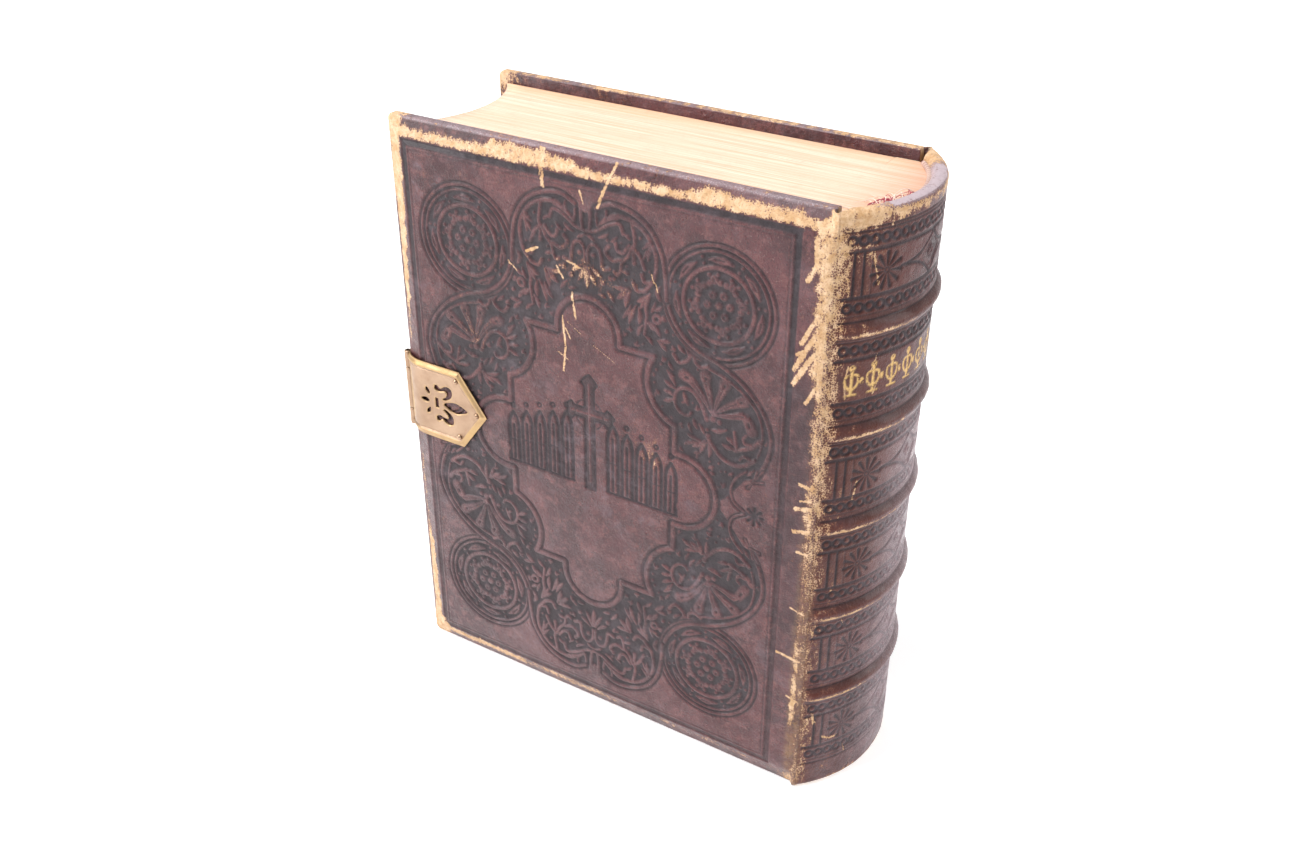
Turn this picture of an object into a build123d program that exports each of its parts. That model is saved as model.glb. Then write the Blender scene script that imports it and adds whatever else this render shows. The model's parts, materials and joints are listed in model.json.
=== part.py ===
"""A large clasped family Bible standing on its tail, as separate bound pieces.

+Z points up the page height, +X towards the spine and +Y towards the front cover.
The origin is under the middle of the whole book, on the surface that it stands on.
The rear half is described once, and the front half is its mirror image in the XZ plane:
a side of REAR or FRONT gives the sign of Y.
"""
import os
from math import asin, cos, degrees, radians, sin, sqrt

from build123d import *

REAR = -1
FRONT = 1

# ---- driving dimensions, millimetres -------------------------------------------------
BOOK_HEIGHT = 325.0
BOOK_THICKNESS = 105.0  # over both boards
BOARD_WIDTH = 247.0  # fore-edge to joint
BOARD_THICKNESS = 9.8  # leather included
BEVEL_WIDTH = 12.0  # on the outer face, at the fore-edge, head and tail
BEVEL_DEPTH = 5.0
SPINE_RISE = 24.5  # how far the rounded back stands out from the joints
SQUARE = 6.0  # how far the boards reach past the leaves

# leather, board and paper
LEATHER = 1.0
TURN_IN = 0.6  # leather folded onto the board's inner face, pared thin
TURN_IN_WIDTH = 16.0
JOINT_GAP = 0.4  # from the joint line to each leather edge beside it
BOARD_SETBACK = 1.2  # from the joint line to the board and its lining paper
SHOULDER_GAP = 0.8  # from the joint line to the backed folds

# spine layers, outward from the backs of the gatherings
TAPE_THICKNESS = 0.6
LINING_THICKNESS = 0.8
HOLLOW_THICKNESS = 1.1
SPINE_LEATHER = 1.6
TAPE_WIDTH = 14.0
TAPE_COUNT = 4
LAYER_GAP = 0.1

# raised bands
BAND_COUNT = 5
BAND_TOP_Z = 269.0
BAND_PITCH = 51.5
BAND_PROUD = 2.8
BAND_HALF_HEIGHT = 5.5
BAND_CORE_PROUD = 1.3
BAND_CORE_HALF_HEIGHT = 4.0
BAND_HALF_WIDTH = 51.0  # the bands die away before the joints

# leaves
LEAF_CLEARANCE = 0.3  # between the lining paper and the first leaf
FLYLEAF_THICKNESS = 0.3
PACKET_THICKNESS = 4.0
PACKETS_PER_SIDE = 3
LEAF_GAP = 0.1
GUTTER = 13.0  # from the joint to the line that the leaves turn on
GUTTER_GAP = 0.2
GATHERING_COUNT = 8
HEADBAND_RADIUS = 2.0
HEADBAND_HALF_ANGLE = 39.0

# clasp
PLATE_HEIGHT = 46.0
PLATE_TIP = 55.6  # from the fore-edge
PLATE_SHOULDER = 38.5
PLATE_CENTRE_Z = 168.5
PLATE_THICKNESS = 1.2
RIM_WIDTH = 3.6
RIM_RISE = 0.7
BEND_SWEEP = 50.0  # degrees that the plate bends through, round to its knuckles
KNUCKLE_RADIUS = 2.0
KNUCKLE_LENGTH = 10.0
KNUCKLE_OUT = 2.4  # knuckle axis beyond the fore-edge
KNUCKLE_DEPTH = 5.6  # knuckle axis behind the board's outer face
KNUCKLE_END_GAP = 0.3
PIN_RADIUS = 0.8
PIN_CLEARANCE = 0.05
BAR_RADIUS = 0.9
STRAP_THICKNESS = 1.4
STRAP_BOW = 1.8  # how far the arm bows out between the covers
STRAP_END = 50.0  # the arm's free end, from the middle of the book
STRAP_HALF_WIDTH = 11.5
STRAP_WAIST = 8.0  # half width half way along
LIP_REACH = 8.0  # thumb lip beyond the fore-edge
LIP_HALF_WIDTH = 6.0
NAIL_HEAD_RADIUS = 1.5
NAIL_SHANK_RADIUS = 0.6
NAIL_LENGTH = 6.0

# ---- places worked out from them -----------------------------------------------------
HALF_THICKNESS = BOOK_THICKNESS / 2
X_JOINT = (BOARD_WIDTH + LIP_REACH - SPINE_RISE - BAND_PROUD) / 2
X_FORE = X_JOINT - BOARD_WIDTH
SPINE_RADIUS = (HALF_THICKNESS**2 + SPINE_RISE**2) / (2 * SPINE_RISE)
SPINE_AXIS_X = X_JOINT + SPINE_RISE - SPINE_RADIUS
LEATHER_INNER_RADIUS = SPINE_RADIUS - SPINE_LEATHER
HOLLOW_RADIUS = LEATHER_INNER_RADIUS - LAYER_GAP
LINING_RADIUS = HOLLOW_RADIUS - HOLLOW_THICKNESS - LAYER_GAP
BACK_RADIUS = LINING_RADIUS - LINING_THICKNESS - TAPE_THICKNESS
BAND_HEIGHTS = [BAND_TOP_Z - BAND_PITCH * i for i in range(BAND_COUNT)]
TAPE_HEIGHTS = [BAND_TOP_Z - BAND_PITCH * (i + 0.5) for i in range(TAPE_COUNT)]

LEAF_TAIL_Z = SQUARE
LEAF_HEAD_Z = BOOK_HEIGHT - SQUARE
LEAF_FACE_Y = HALF_THICKNESS - BOARD_THICKNESS - LEAF_CLEARANCE
X_TURN = X_JOINT - GUTTER
FLYLEAF_Y = (LEAF_FACE_Y - FLYLEAF_THICKNESS, LEAF_FACE_Y)
MOVING_DEPTH = FLYLEAF_THICKNESS + PACKETS_PER_SIDE * (PACKET_THICKNESS + LEAF_GAP)
FIXED_FACE_Y = LEAF_FACE_Y - MOVING_DEPTH - LEAF_GAP
GATHERING_THICKNESS = 2 * FIXED_FACE_Y / GATHERING_COUNT

KNUCKLE_X = X_FORE - KNUCKLE_OUT
KNUCKLE_Y = HALF_THICKNESS - KNUCKLE_DEPTH
PLATE_LOW_Z = PLATE_CENTRE_Z - PLATE_HEIGHT / 2
PLATE_HIGH_Z = PLATE_CENTRE_Z + PLATE_HEIGHT / 2
BEND_RADIUS = (BEVEL_WIDTH**2 + BEVEL_DEPTH**2) / (2 * BEVEL_DEPTH)
ARM_LOW_Z = PLATE_LOW_Z + KNUCKLE_LENGTH + KNUCKLE_END_GAP
ARM_HIGH_Z = PLATE_HIGH_Z - KNUCKLE_LENGTH - KNUCKLE_END_GAP
NAIL_PLACES = [
    (X_FORE + PLATE_TIP - 6.6, PLATE_CENTRE_Z),
    (X_FORE + PLATE_SHOULDER - 2.5, PLATE_LOW_Z + 6.0),
    (X_FORE + PLATE_SHOULDER - 2.5, PLATE_HIGH_Z - 6.0),
]


def finish(builder, name):
    """Label a finished piece and write it as its own STEP file."""
    builder.part.label = name
    export_step(builder.part, f"parts/{name}.step")


def facing(side):
    """XZ plane through the origin whose normal points out of the cover on that side."""
    return Plane(origin=(0, 0, 0), x_dir=(-side, 0, 0), z_dir=(0, side, 0))


def back_x(y, radius=None):
    """X of the rounded back at a given Y."""
    radius = radius or BACK_RADIUS
    return SPINE_AXIS_X + sqrt(radius**2 - y**2)


LEAF_WIDTH = back_x(LEAF_FACE_Y) - (X_FORE + SQUARE)


# ---- covers --------------------------------------------------------------------------
def bevelled_slab(side, inset, face_depth, inner_depth):
    """Board shape: flat slab whose outer face is bevelled at fore-edge, head and tail.

    inset shrinks the outline, and the depths are measured from the cover's outer face.
    """
    spine_edge = X_JOINT - (BOARD_SETBACK if inset else JOINT_GAP)
    width = spine_edge - X_FORE - inset
    height = BOOK_HEIGHT - 2 * inset
    bevel_depth = face_depth + BEVEL_DEPTH
    base = facing(side)
    foot = (-side * (X_FORE + inset), inset)
    turned = (Align.MAX if side > 0 else Align.MIN, Align.MIN)
    with BuildSketch(base.offset(HALF_THICKNESS - bevel_depth)) as shoulder:
        with Locations(foot):
            Rectangle(width, height, align=turned)
    with BuildSketch(base.offset(HALF_THICKNESS - face_depth)) as face:
        with Locations((foot[0] - side * BEVEL_WIDTH, inset + BEVEL_WIDTH)):
            Rectangle(width - BEVEL_WIDTH, height - 2 * BEVEL_WIDTH, align=turned)
    loft([shoulder.sketch, face.sketch], ruled=True)
    extrude(shoulder.sketch, amount=inner_depth - bevel_depth, dir=(0, -side, 0))


def make_cover(side, word):
    """One cover: bevelled wooden board, its leather with turn-ins, and its lining paper."""
    with BuildPart() as board:
        bevelled_slab(side, LEATHER, LEATHER, BOARD_THICKNESS - TURN_IN)
    finish(board, f"{word}_board")

    window_width = X_JOINT - BOARD_SETBACK - X_FORE - TURN_IN_WIDTH
    window_height = BOOK_HEIGHT - 2 * TURN_IN_WIDTH
    window_x = X_JOINT - BOARD_SETBACK - window_width / 2
    inner_face = facing(side).offset(HALF_THICKNESS - BOARD_THICKNESS)
    with BuildSketch(inner_face) as window:
        with Locations((-side * window_x, BOOK_HEIGHT / 2)):
            Rectangle(window_width, window_height)

    with BuildPart() as lining_paper:
        extrude(window.sketch, amount=TURN_IN, dir=(0, side, 0))
    finish(lining_paper, f"{word}_pastedown")

    with BuildPart() as leather:
        bevelled_slab(side, 0, 0, BOARD_THICKNESS)
        add(board.part, mode=Mode.SUBTRACT)
        add(lining_paper.part, mode=Mode.SUBTRACT)
        with Locations((X_JOINT, side * (HALF_THICKNESS - LEATHER), BOOK_HEIGHT / 2)):
            Box(
                2 * BOARD_SETBACK,
                2 * (BOARD_THICKNESS - LEATHER),
                2 * BOOK_HEIGHT,
                align=(Align.CENTER, Align.MAX if side > 0 else Align.MIN, Align.CENTER),
                mode=Mode.SUBTRACT,
            )
    finish(leather, f"{word}_cover_leather")


# ---- spine ---------------------------------------------------------------------------
def back_strip(outer_radius, inner_radius, z_low, z_high):
    """Strip that follows the rounded back, between two radii and two heights."""
    with BuildSketch(Plane.XY.offset(z_low)) as plan:
        with Locations((SPINE_AXIS_X, 0)):
            Circle(outer_radius)
            Circle(inner_radius, mode=Mode.SUBTRACT)
        with Locations((X_JOINT + SHOULDER_GAP / 2, 0)):
            Rectangle(
                2 * SPINE_RISE,
                BOOK_THICKNESS,
                align=(Align.MIN, Align.CENTER),
                mode=Mode.INTERSECT,
            )
    extrude(plan.sketch, amount=z_high - z_low)


def band_ring(z, inner_radius, outer_radius, half_height, half_width):
    """Half-round band that runs round the back at height z and stops at half_width in Y."""
    half_angle = degrees(asin(half_width / outer_radius))
    sweep_start = Plane(
        origin=(SPINE_AXIS_X, 0, z),
        x_dir=(cos(radians(half_angle)), -sin(radians(half_angle)), 0),
        z_dir=(-sin(radians(half_angle)), -cos(radians(half_angle)), 0),
    )
    with BuildSketch(sweep_start) as section:
        with BuildLine():
            foot = Polyline(
                (outer_radius - half_height / 2, half_height),
                (inner_radius, half_height),
                (inner_radius, -half_height),
                (outer_radius - half_height / 2, -half_height),
            )
            ThreePointArc(foot @ 0, (outer_radius, 0), foot @ 1)
        make_face()
    axis = Axis((SPINE_AXIS_X, 0, 0), (0, 0, 1))
    revolve(section.sketch, axis, revolution_arc=2 * half_angle)


def make_spine():
    """Leather back with five raised bands over a paper hollow, and the linings beneath."""
    cores = []
    for number, z in enumerate(BAND_HEIGHTS, 1):
        with BuildPart() as core:
            band_ring(
                z,
                LEATHER_INNER_RADIUS - LAYER_GAP / 2,
                SPINE_RADIUS + BAND_CORE_PROUD,
                BAND_CORE_HALF_HEIGHT,
                BAND_HALF_WIDTH - SPINE_LEATHER,
            )
        finish(core, f"raised_band_{number}")
        cores.append(core.part)

    with BuildPart() as leather:
        back_strip(SPINE_RADIUS, LEATHER_INNER_RADIUS, 0, BOOK_HEIGHT)
        for z in BAND_HEIGHTS:
            band_ring(
                z,
                LEATHER_INNER_RADIUS + LAYER_GAP,
                SPINE_RADIUS + BAND_PROUD,
                BAND_HALF_HEIGHT,
                BAND_HALF_WIDTH,
            )
        for core_part in cores:
            add(core_part, mode=Mode.SUBTRACT)
    finish(leather, "spine_leather")

    with BuildPart() as hollow:
        back_strip(HOLLOW_RADIUS, HOLLOW_RADIUS - HOLLOW_THICKNESS, LEATHER, BOOK_HEIGHT - LEATHER)
    finish(hollow, "spine_hollow")

    with BuildPart() as lining:
        back_strip(
            LINING_RADIUS, LINING_RADIUS - LINING_THICKNESS, LEAF_TAIL_Z + LEATHER, LEAF_HEAD_Z - LEATHER
        )
    finish(lining, "spine_lining")

    with BuildPart() as tapes:
        for z in TAPE_HEIGHTS:
            back_strip(
                BACK_RADIUS + TAPE_THICKNESS, BACK_RADIUS, z - TAPE_WIDTH / 2, z + TAPE_WIDTH / 2
            )
    finish(tapes, "sewing_tapes")


def make_headband(z, name):
    """Silk-covered cord along the backs of the leaves, at the head or the tail."""
    start = radians(HEADBAND_HALF_ANGLE)
    start_plane = Plane(
        origin=(SPINE_AXIS_X, 0, z),
        x_dir=(cos(start), -sin(start), 0),
        z_dir=(-sin(start), -cos(start), 0),
    )
    with BuildPart() as band:
        with BuildSketch(start_plane) as section:
            with Locations((BACK_RADIUS - 1.5 * HEADBAND_RADIUS, 0)):
                Circle(HEADBAND_RADIUS)
        revolve(
            section.sketch,
            Axis((SPINE_AXIS_X, 0, 0), (0, 0, 1)),
            revolution_arc=2 * HEADBAND_HALF_ANGLE,
        )
    finish(band, name)


# ---- leaves --------------------------------------------------------------------------
def leaf_slab(y_low, y_high, spine_edge=None):
    """Thickness of leaves from y_low to y_high: hollow fore-edge, rounded or cut spine edge."""
    y_middle = (y_low + y_high) / 2
    fore_points = [(back_x(y) - LEAF_WIDTH, y) for y in (y_low, y_middle, y_high)]
    with BuildSketch(Plane.XY.offset(LEAF_TAIL_Z)) as plan:
        with BuildLine():
            fore_edge = ThreePointArc(*fore_points)
            if spine_edge is None:
                back_edge = ThreePointArc(*[(back_x(y), y) for y in (y_low, y_middle, y_high)])
            else:
                back_edge = Line((spine_edge, y_low), (spine_edge, y_high))
            Line(fore_edge @ 0, back_edge @ 0)
            Line(fore_edge @ 1, back_edge @ 1)
        make_face()
    extrude(plan.sketch, amount=LEAF_HEAD_Z - LEAF_TAIL_Z)


def make_gatherings():
    """Sewn gatherings in the middle of the book, which keep their places."""
    for number in range(GATHERING_COUNT):
        y_low = -FIXED_FACE_Y + number * GATHERING_THICKNESS
        with BuildPart() as gathering:
            leaf_slab(y_low, y_low + GATHERING_THICKNESS)
        finish(gathering, f"gathering_{number + 1:02d}")


def make_turning_leaves(side, word):
    """A flyleaf and three packets of leaves that turn with the cover, and their sewn folds."""
    faces = [FLYLEAF_Y]
    for _ in range(PACKETS_PER_SIDE):
        outer = faces[-1][0] - LEAF_GAP
        faces.append((outer - PACKET_THICKNESS, outer))
    names = [f"{word}_flyleaf"] + [f"{word}_leaves_{i + 1}" for i in range(PACKETS_PER_SIDE)]
    for (inner, outer), name in zip(faces, names):
        y_low, y_high = sorted((side * inner, side * outer))
        with BuildPart() as leaves:
            leaf_slab(y_low, y_high, X_TURN - GUTTER_GAP)
        finish(leaves, name)

    shoulder_reach = sqrt(BACK_RADIUS**2 - (X_JOINT + SHOULDER_GAP - SPINE_AXIS_X) ** 2)
    with BuildPart() as folds:
        with BuildSketch(Plane.XY.offset(LEAF_TAIL_Z)):
            with Locations((SPINE_AXIS_X, 0)):
                Circle(BACK_RADIUS)
            with Locations((X_TURN + GUTTER_GAP, side * (FIXED_FACE_Y + shoulder_reach) / 2)):
                Rectangle(
                    2 * SPINE_RISE + GUTTER,
                    shoulder_reach - FIXED_FACE_Y,
                    align=(Align.MIN, Align.CENTER),
                    mode=Mode.INTERSECT,
                )
            with Locations((X_JOINT + SHOULDER_GAP, side * LEAF_FACE_Y)):
                Rectangle(
                    2 * GUTTER,
                    BOARD_THICKNESS,
                    align=(Align.MAX, Align.MIN if side > 0 else Align.MAX),
                    mode=Mode.SUBTRACT,
                )
        extrude(amount=LEAF_HEAD_Z - LEAF_TAIL_Z)
    finish(folds, f"{word}_leaf_folds")


# ---- clasp ---------------------------------------------------------------------------
def plate_outline(shrink=0.0):
    """Five-sided plate outline in (x, z): square at the fore-edge, pointed to the board."""
    low = PLATE_LOW_Z + shrink
    high = PLATE_HIGH_Z - shrink
    shoulder = X_FORE + PLATE_SHOULDER - 0.5 * shrink
    tip = X_FORE + PLATE_TIP - 1.3 * shrink
    start = X_FORE - 2 * KNUCKLE_OUT
    return [(start, low), (shoulder, low), (tip, PLATE_CENTRE_Z), (shoulder, high), (start, high)]


def prism_through_cover(side, points):
    """Solid right through the cover along Y, from an outline in (x, z)."""
    plane = facing(side).offset(HALF_THICKNESS)
    with BuildSketch(plane) as outline:
        with BuildLine():
            Polyline(*[(-side * x, z) for x, z in points], close=True)
        make_face()
    return extrude(outline.sketch, amount=2 * BOARD_THICKNESS, both=True, mode=Mode.PRIVATE)


def bent_sheet(side, thickness):
    """Sheet along the cover's face that bends round over the bevel to the knuckles."""
    bend_x = X_FORE + BEVEL_WIDTH
    bend_y = HALF_THICKNESS - BEND_RADIUS
    tip_x = X_FORE + PLATE_TIP

    def on_bend(radius, angle):
        return bend_x - radius * sin(radians(angle)), side * (bend_y + radius * cos(radians(angle)))

    outer = BEND_RADIUS + thickness
    with BuildSketch(Plane.XY.offset(PLATE_LOW_Z)) as section:
        with BuildLine():
            under = ThreePointArc(
                on_bend(BEND_RADIUS, BEND_SWEEP), on_bend(BEND_RADIUS, BEND_SWEEP / 2), on_bend(BEND_RADIUS, 0)
            )
            over = ThreePointArc(
                on_bend(outer, BEND_SWEEP), on_bend(outer, BEND_SWEEP / 2), on_bend(outer, 0)
            )
            Line(under @ 0, over @ 0)
            Polyline(
                under @ 1,
                (tip_x, side * HALF_THICKNESS),
                (tip_x, side * (HALF_THICKNESS + thickness)),
                over @ 1,
            )
        make_face()
    extrude(section.sketch, amount=PLATE_HEIGHT)


def piercing(side):
    """Solid of the plate's fleur-de-lis openings, pointing away from the fore-edge."""
    centre = PLATE_CENTRE_Z
    plane = facing(side).offset(HALF_THICKNESS - BEVEL_DEPTH)

    def at(x, z):
        return (-side * (X_FORE + x), z)

    with BuildSketch(plane) as openings:
        with BuildLine():
            ThreePointArc(at(27.0, centre), at(35.5, centre + 2.8), at(42.5, centre))
            ThreePointArc(at(42.5, centre), at(35.5, centre - 2.8), at(27.0, centre))
        make_face()
        with Locations(at(21.5, centre)):
            Rectangle(2.4, 5.6)
        for up in (-1, 1):
            with BuildLine(mode=Mode.PRIVATE) as petal:
                ThreePointArc(
                    at(26.5, centre + up * 4.0), at(31.5, centre + up * 7.6), at(28.5, centre + up * 10.2)
                )
                Line(at(28.5, centre + up * 10.2), at(23.0, centre + up * 8.6))
            trace(petal.line, line_width=2.0)
            with Locations(at(21.6, centre + up * 9.6)):
                Circle(1.3)
            with Locations(at(15.0, centre + up * 5.4)):
                Ellipse(2.0, 1.1)
        with Locations(at(13.0, centre)):
            Ellipse(2.6, 1.1)
    return extrude(openings.sketch, amount=2 * BEVEL_DEPTH, mode=Mode.PRIVATE)


def knuckle(side, z_low, z_high, radius=KNUCKLE_RADIUS, mode=Mode.ADD):
    """Upright cylinder on the hinge axis, or on the catch bar's axis, of one side."""
    with BuildSketch(Plane.XY.offset(z_low)) as disc:
        with Locations((KNUCKLE_X, side * KNUCKLE_Y)):
            Circle(radius)
    extrude(disc.sketch, amount=z_high - z_low, mode=mode)


def make_plate(side, name, bore):
    """Pierced brass plate with a raised rim, bent to two end knuckles at the fore-edge."""
    with BuildPart() as rim:
        bent_sheet(side, PLATE_THICKNESS + RIM_RISE)
        add(prism_through_cover(side, plate_outline()), mode=Mode.INTERSECT)
        add(prism_through_cover(side, plate_outline(RIM_WIDTH)), mode=Mode.SUBTRACT)
    with BuildPart() as plate:
        bent_sheet(side, PLATE_THICKNESS)
        add(prism_through_cover(side, plate_outline()), mode=Mode.INTERSECT)
        add(rim.part)
        add(piercing(side), mode=Mode.SUBTRACT)
        with Locations((X_FORE + 0.9, side * HALF_THICKNESS, PLATE_CENTRE_Z)):
            Box(
                4 * KNUCKLE_OUT,
                4 * BEVEL_DEPTH,
                PLATE_HEIGHT - 2 * KNUCKLE_LENGTH,
                align=(Align.MAX, Align.CENTER, Align.CENTER),
                mode=Mode.SUBTRACT,
            )
        knuckle(side, PLATE_LOW_Z, PLATE_LOW_Z + KNUCKLE_LENGTH)
        knuckle(side, PLATE_HIGH_Z - KNUCKLE_LENGTH, PLATE_HIGH_Z)
        knuckle(side, PLATE_LOW_Z, PLATE_HIGH_Z, radius=bore, mode=Mode.SUBTRACT)
    finish(plate, name)


def make_nails(side, name):
    """Three dome-headed nails through the plate and leather into the board."""
    head_y = side * (HALF_THICKNESS + PLATE_THICKNESS)
    with BuildPart() as nails:
        for x, z in NAIL_PLACES:
            with Locations((x, head_y, z)):
                Sphere(NAIL_HEAD_RADIUS)
        with Locations((X_FORE, head_y, PLATE_CENTRE_Z)):
            Box(
                2 * BOARD_WIDTH,
                2 * NAIL_HEAD_RADIUS,
                2 * PLATE_HEIGHT,
                align=(Align.CENTER, Align.MAX if side > 0 else Align.MIN, Align.CENTER),
                mode=Mode.SUBTRACT,
            )
        with BuildSketch(facing(side).offset(HALF_THICKNESS + PLATE_THICKNESS)) as shanks:
            with Locations(*[(-side * x, z) for x, z in NAIL_PLACES]):
                Circle(NAIL_SHANK_RADIUS)
        extrude(shanks.sketch, amount=NAIL_LENGTH, dir=(0, -side, 0))
    finish(nails, name)


def make_pin_and_bar():
    """Hinge pin in the rear plate's knuckles, and the bar between the front plate's."""
    with BuildPart() as pin:
        knuckle(REAR, PLATE_LOW_Z, PLATE_HIGH_Z, radius=PIN_RADIUS)
    finish(pin, "clasp_hinge_pin")
    with BuildPart() as bar:
        knuckle(FRONT, PLATE_LOW_Z, PLATE_HIGH_Z, radius=BAR_RADIUS)
    finish(bar, "catch_bar")


def strap_arc(offset):
    """Line of the arm seen from above, bowed outwards; offset is measured from its outer face."""
    start_x = KNUCKLE_X - KNUCKLE_RADIUS + offset
    return ThreePointArc(
        (start_x, -KNUCKLE_Y), (start_x - STRAP_BOW, 0), (start_x - STRAP_BOW / 3, STRAP_END)
    )


def make_arm():
    """Clasp arm: knuckle on the pin, a bowed and waisted strap, and a rounded free end."""
    with BuildPart() as arm:
        with BuildSketch(Plane.XY.offset(ARM_LOW_Z)) as bow:
            with BuildLine():
                outer = strap_arc(0)
                inner = strap_arc(STRAP_THICKNESS)
                Line(outer @ 0, inner @ 0)
                Line(outer @ 1, inner @ 1)
            make_face()
        extrude(bow.sketch, amount=ARM_HIGH_Z - ARM_LOW_Z)
        side_view = Plane(origin=(KNUCKLE_X, 0, 0), x_dir=(0, 1, 0), z_dir=(1, 0, 0))
        low = PLATE_CENTRE_Z - STRAP_HALF_WIDTH
        high = PLATE_CENTRE_Z + STRAP_HALF_WIDTH
        with BuildSketch(side_view) as silhouette:
            with BuildLine():
                start = Line((-KNUCKLE_Y - KNUCKLE_RADIUS, low), (-KNUCKLE_Y - KNUCKLE_RADIUS, high))
                top = ThreePointArc(
                    start @ 1, (0, PLATE_CENTRE_Z + STRAP_WAIST), (STRAP_END - STRAP_WAIST, high)
                )
                bottom = ThreePointArc(
                    start @ 0, (0, PLATE_CENTRE_Z - STRAP_WAIST), (STRAP_END - STRAP_WAIST, low)
                )
                ThreePointArc(top @ 1, (STRAP_END, PLATE_CENTRE_Z), bottom @ 1)
            make_face()
        extrude(silhouette.sketch, amount=2 * LIP_REACH, both=True, mode=Mode.INTERSECT)
        knuckle(REAR, ARM_LOW_Z, ARM_HIGH_Z)
        knuckle(REAR, ARM_LOW_Z, ARM_HIGH_Z, radius=PIN_RADIUS + PIN_CLEARANCE, mode=Mode.SUBTRACT)
    finish(arm, "clasp_arm")

    face_x = KNUCKLE_X - KNUCKLE_RADIUS - STRAP_BOW
    lip_tip_x = X_FORE - LIP_REACH
    foot_y = STRAP_END - 2 * LIP_HALF_WIDTH
    with BuildPart() as lip:
        with BuildSketch(Plane.XY.offset(PLATE_CENTRE_Z - LIP_HALF_WIDTH)) as flare:
            with BuildLine():
                Polyline(
                    (face_x - STRAP_THICKNESS / 2, foot_y),
                    (face_x - STRAP_THICKNESS / 2, STRAP_END - LIP_HALF_WIDTH),
                    (lip_tip_x, STRAP_END),
                    (lip_tip_x + STRAP_THICKNESS, STRAP_END),
                    (face_x + STRAP_THICKNESS, STRAP_END - LIP_HALF_WIDTH),
                    (face_x + STRAP_THICKNESS, foot_y),
                    close=True,
                )
            make_face()
        extrude(flare.sketch, amount=2 * LIP_HALF_WIDTH)
        add(arm.part, mode=Mode.SUBTRACT)
        lip_body = lip.part.solids().sort_by(Axis.X)[0]
    with BuildPart() as thumb_lip:
        add(lip_body)
    finish(thumb_lip, "clasp_thumb_lip")


def main():
    """Make every piece of the book and write it to parts."""
    os.makedirs("parts", exist_ok=True)
    for side, word in ((REAR, "rear"), (FRONT, "front")):
        make_cover(side, word)
        make_turning_leaves(side, word)
    make_spine()
    make_headband(LEAF_HEAD_Z + HEADBAND_RADIUS, "head_band")
    make_headband(LEAF_TAIL_Z - HEADBAND_RADIUS, "tail_band")
    make_gatherings()
    make_plate(REAR, "rear_clasp_plate", PIN_RADIUS)
    make_plate(FRONT, "front_catch_plate", BAR_RADIUS)
    make_nails(REAR, "rear_clasp_nails")
    make_nails(FRONT, "front_catch_nails")
    make_pin_and_bar()
    make_arm()


main()
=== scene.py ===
"""Looks of the clasped family Bible: tooled and worn leather, page edges, brass clasp.

Design values are in millimetres and measured from the frame; MM turns them into metres.
"""
import json
import math
import bmesh
import bpy
import numpy as np
from mathutils import Matrix, Vector


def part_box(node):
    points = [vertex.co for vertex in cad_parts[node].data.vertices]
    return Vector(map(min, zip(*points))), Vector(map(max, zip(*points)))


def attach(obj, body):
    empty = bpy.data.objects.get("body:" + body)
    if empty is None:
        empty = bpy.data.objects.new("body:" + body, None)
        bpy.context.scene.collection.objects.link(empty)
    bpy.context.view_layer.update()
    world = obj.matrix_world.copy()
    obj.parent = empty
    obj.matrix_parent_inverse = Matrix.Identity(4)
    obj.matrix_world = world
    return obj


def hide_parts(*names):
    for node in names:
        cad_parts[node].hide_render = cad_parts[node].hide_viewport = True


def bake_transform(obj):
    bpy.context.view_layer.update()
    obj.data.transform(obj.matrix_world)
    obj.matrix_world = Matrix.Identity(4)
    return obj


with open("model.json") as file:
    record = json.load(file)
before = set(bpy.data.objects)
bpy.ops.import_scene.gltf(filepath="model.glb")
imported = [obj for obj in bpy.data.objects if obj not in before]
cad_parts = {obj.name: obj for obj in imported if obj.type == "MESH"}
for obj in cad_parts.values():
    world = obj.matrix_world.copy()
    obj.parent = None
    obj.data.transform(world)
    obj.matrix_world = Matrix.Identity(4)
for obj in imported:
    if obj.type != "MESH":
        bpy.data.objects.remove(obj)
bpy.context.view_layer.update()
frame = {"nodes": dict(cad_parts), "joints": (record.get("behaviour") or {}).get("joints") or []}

MM = 0.001

# ---- places read from the frame --------------------------------------------------------
JOINTS = {joint["name"]: joint for joint in frame["joints"]}
X_JOINT = JOINTS["rear_cover_hinge"]["pos_m"][0] / MM
HALF = JOINTS["front_cover_hinge"]["pos_m"][1] / MM
X_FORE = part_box("rear_cover_leather")[0].x / MM
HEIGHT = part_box("rear_cover_leather")[1].z / MM
BOARD_THICKNESS = HALF - abs(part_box("rear_cover_leather")[1].y) / MM
BACK_LEATHER = 1.7  # thickness of the leather over the paper tube of the back
X_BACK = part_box("spine_hollow")[1].x / MM + BACK_LEATHER
SPINE_RISE = X_BACK - X_JOINT
SPINE_RADIUS = (HALF**2 + SPINE_RISE**2) / (2 * SPINE_RISE)
SPINE_AXIS_X = X_BACK - SPINE_RADIUS
SPINE_HALF_ANGLE = math.asin(HALF / SPINE_RADIUS)
SPINE_ARC = 2 * SPINE_HALF_ANGLE * SPINE_RADIUS
LEAF_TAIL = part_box("gathering_01")[0].z / MM
LEAF_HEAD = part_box("gathering_01")[1].z / MM
LEAF_BACK_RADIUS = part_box("gathering_04")[1].x / MM - SPINE_AXIS_X
X_TURN = JOINTS["rear_leaves_1_turn"]["pos_m"][0] / MM
LEAF_FACE = abs(JOINTS["rear_leaves_1_turn"]["pos_m"][1]) / MM
BAND_HEIGHTS = [
    (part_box(f"raised_band_{i}")[0].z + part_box(f"raised_band_{i}")[1].z) / 2 / MM for i in range(1, 6)
]
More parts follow.
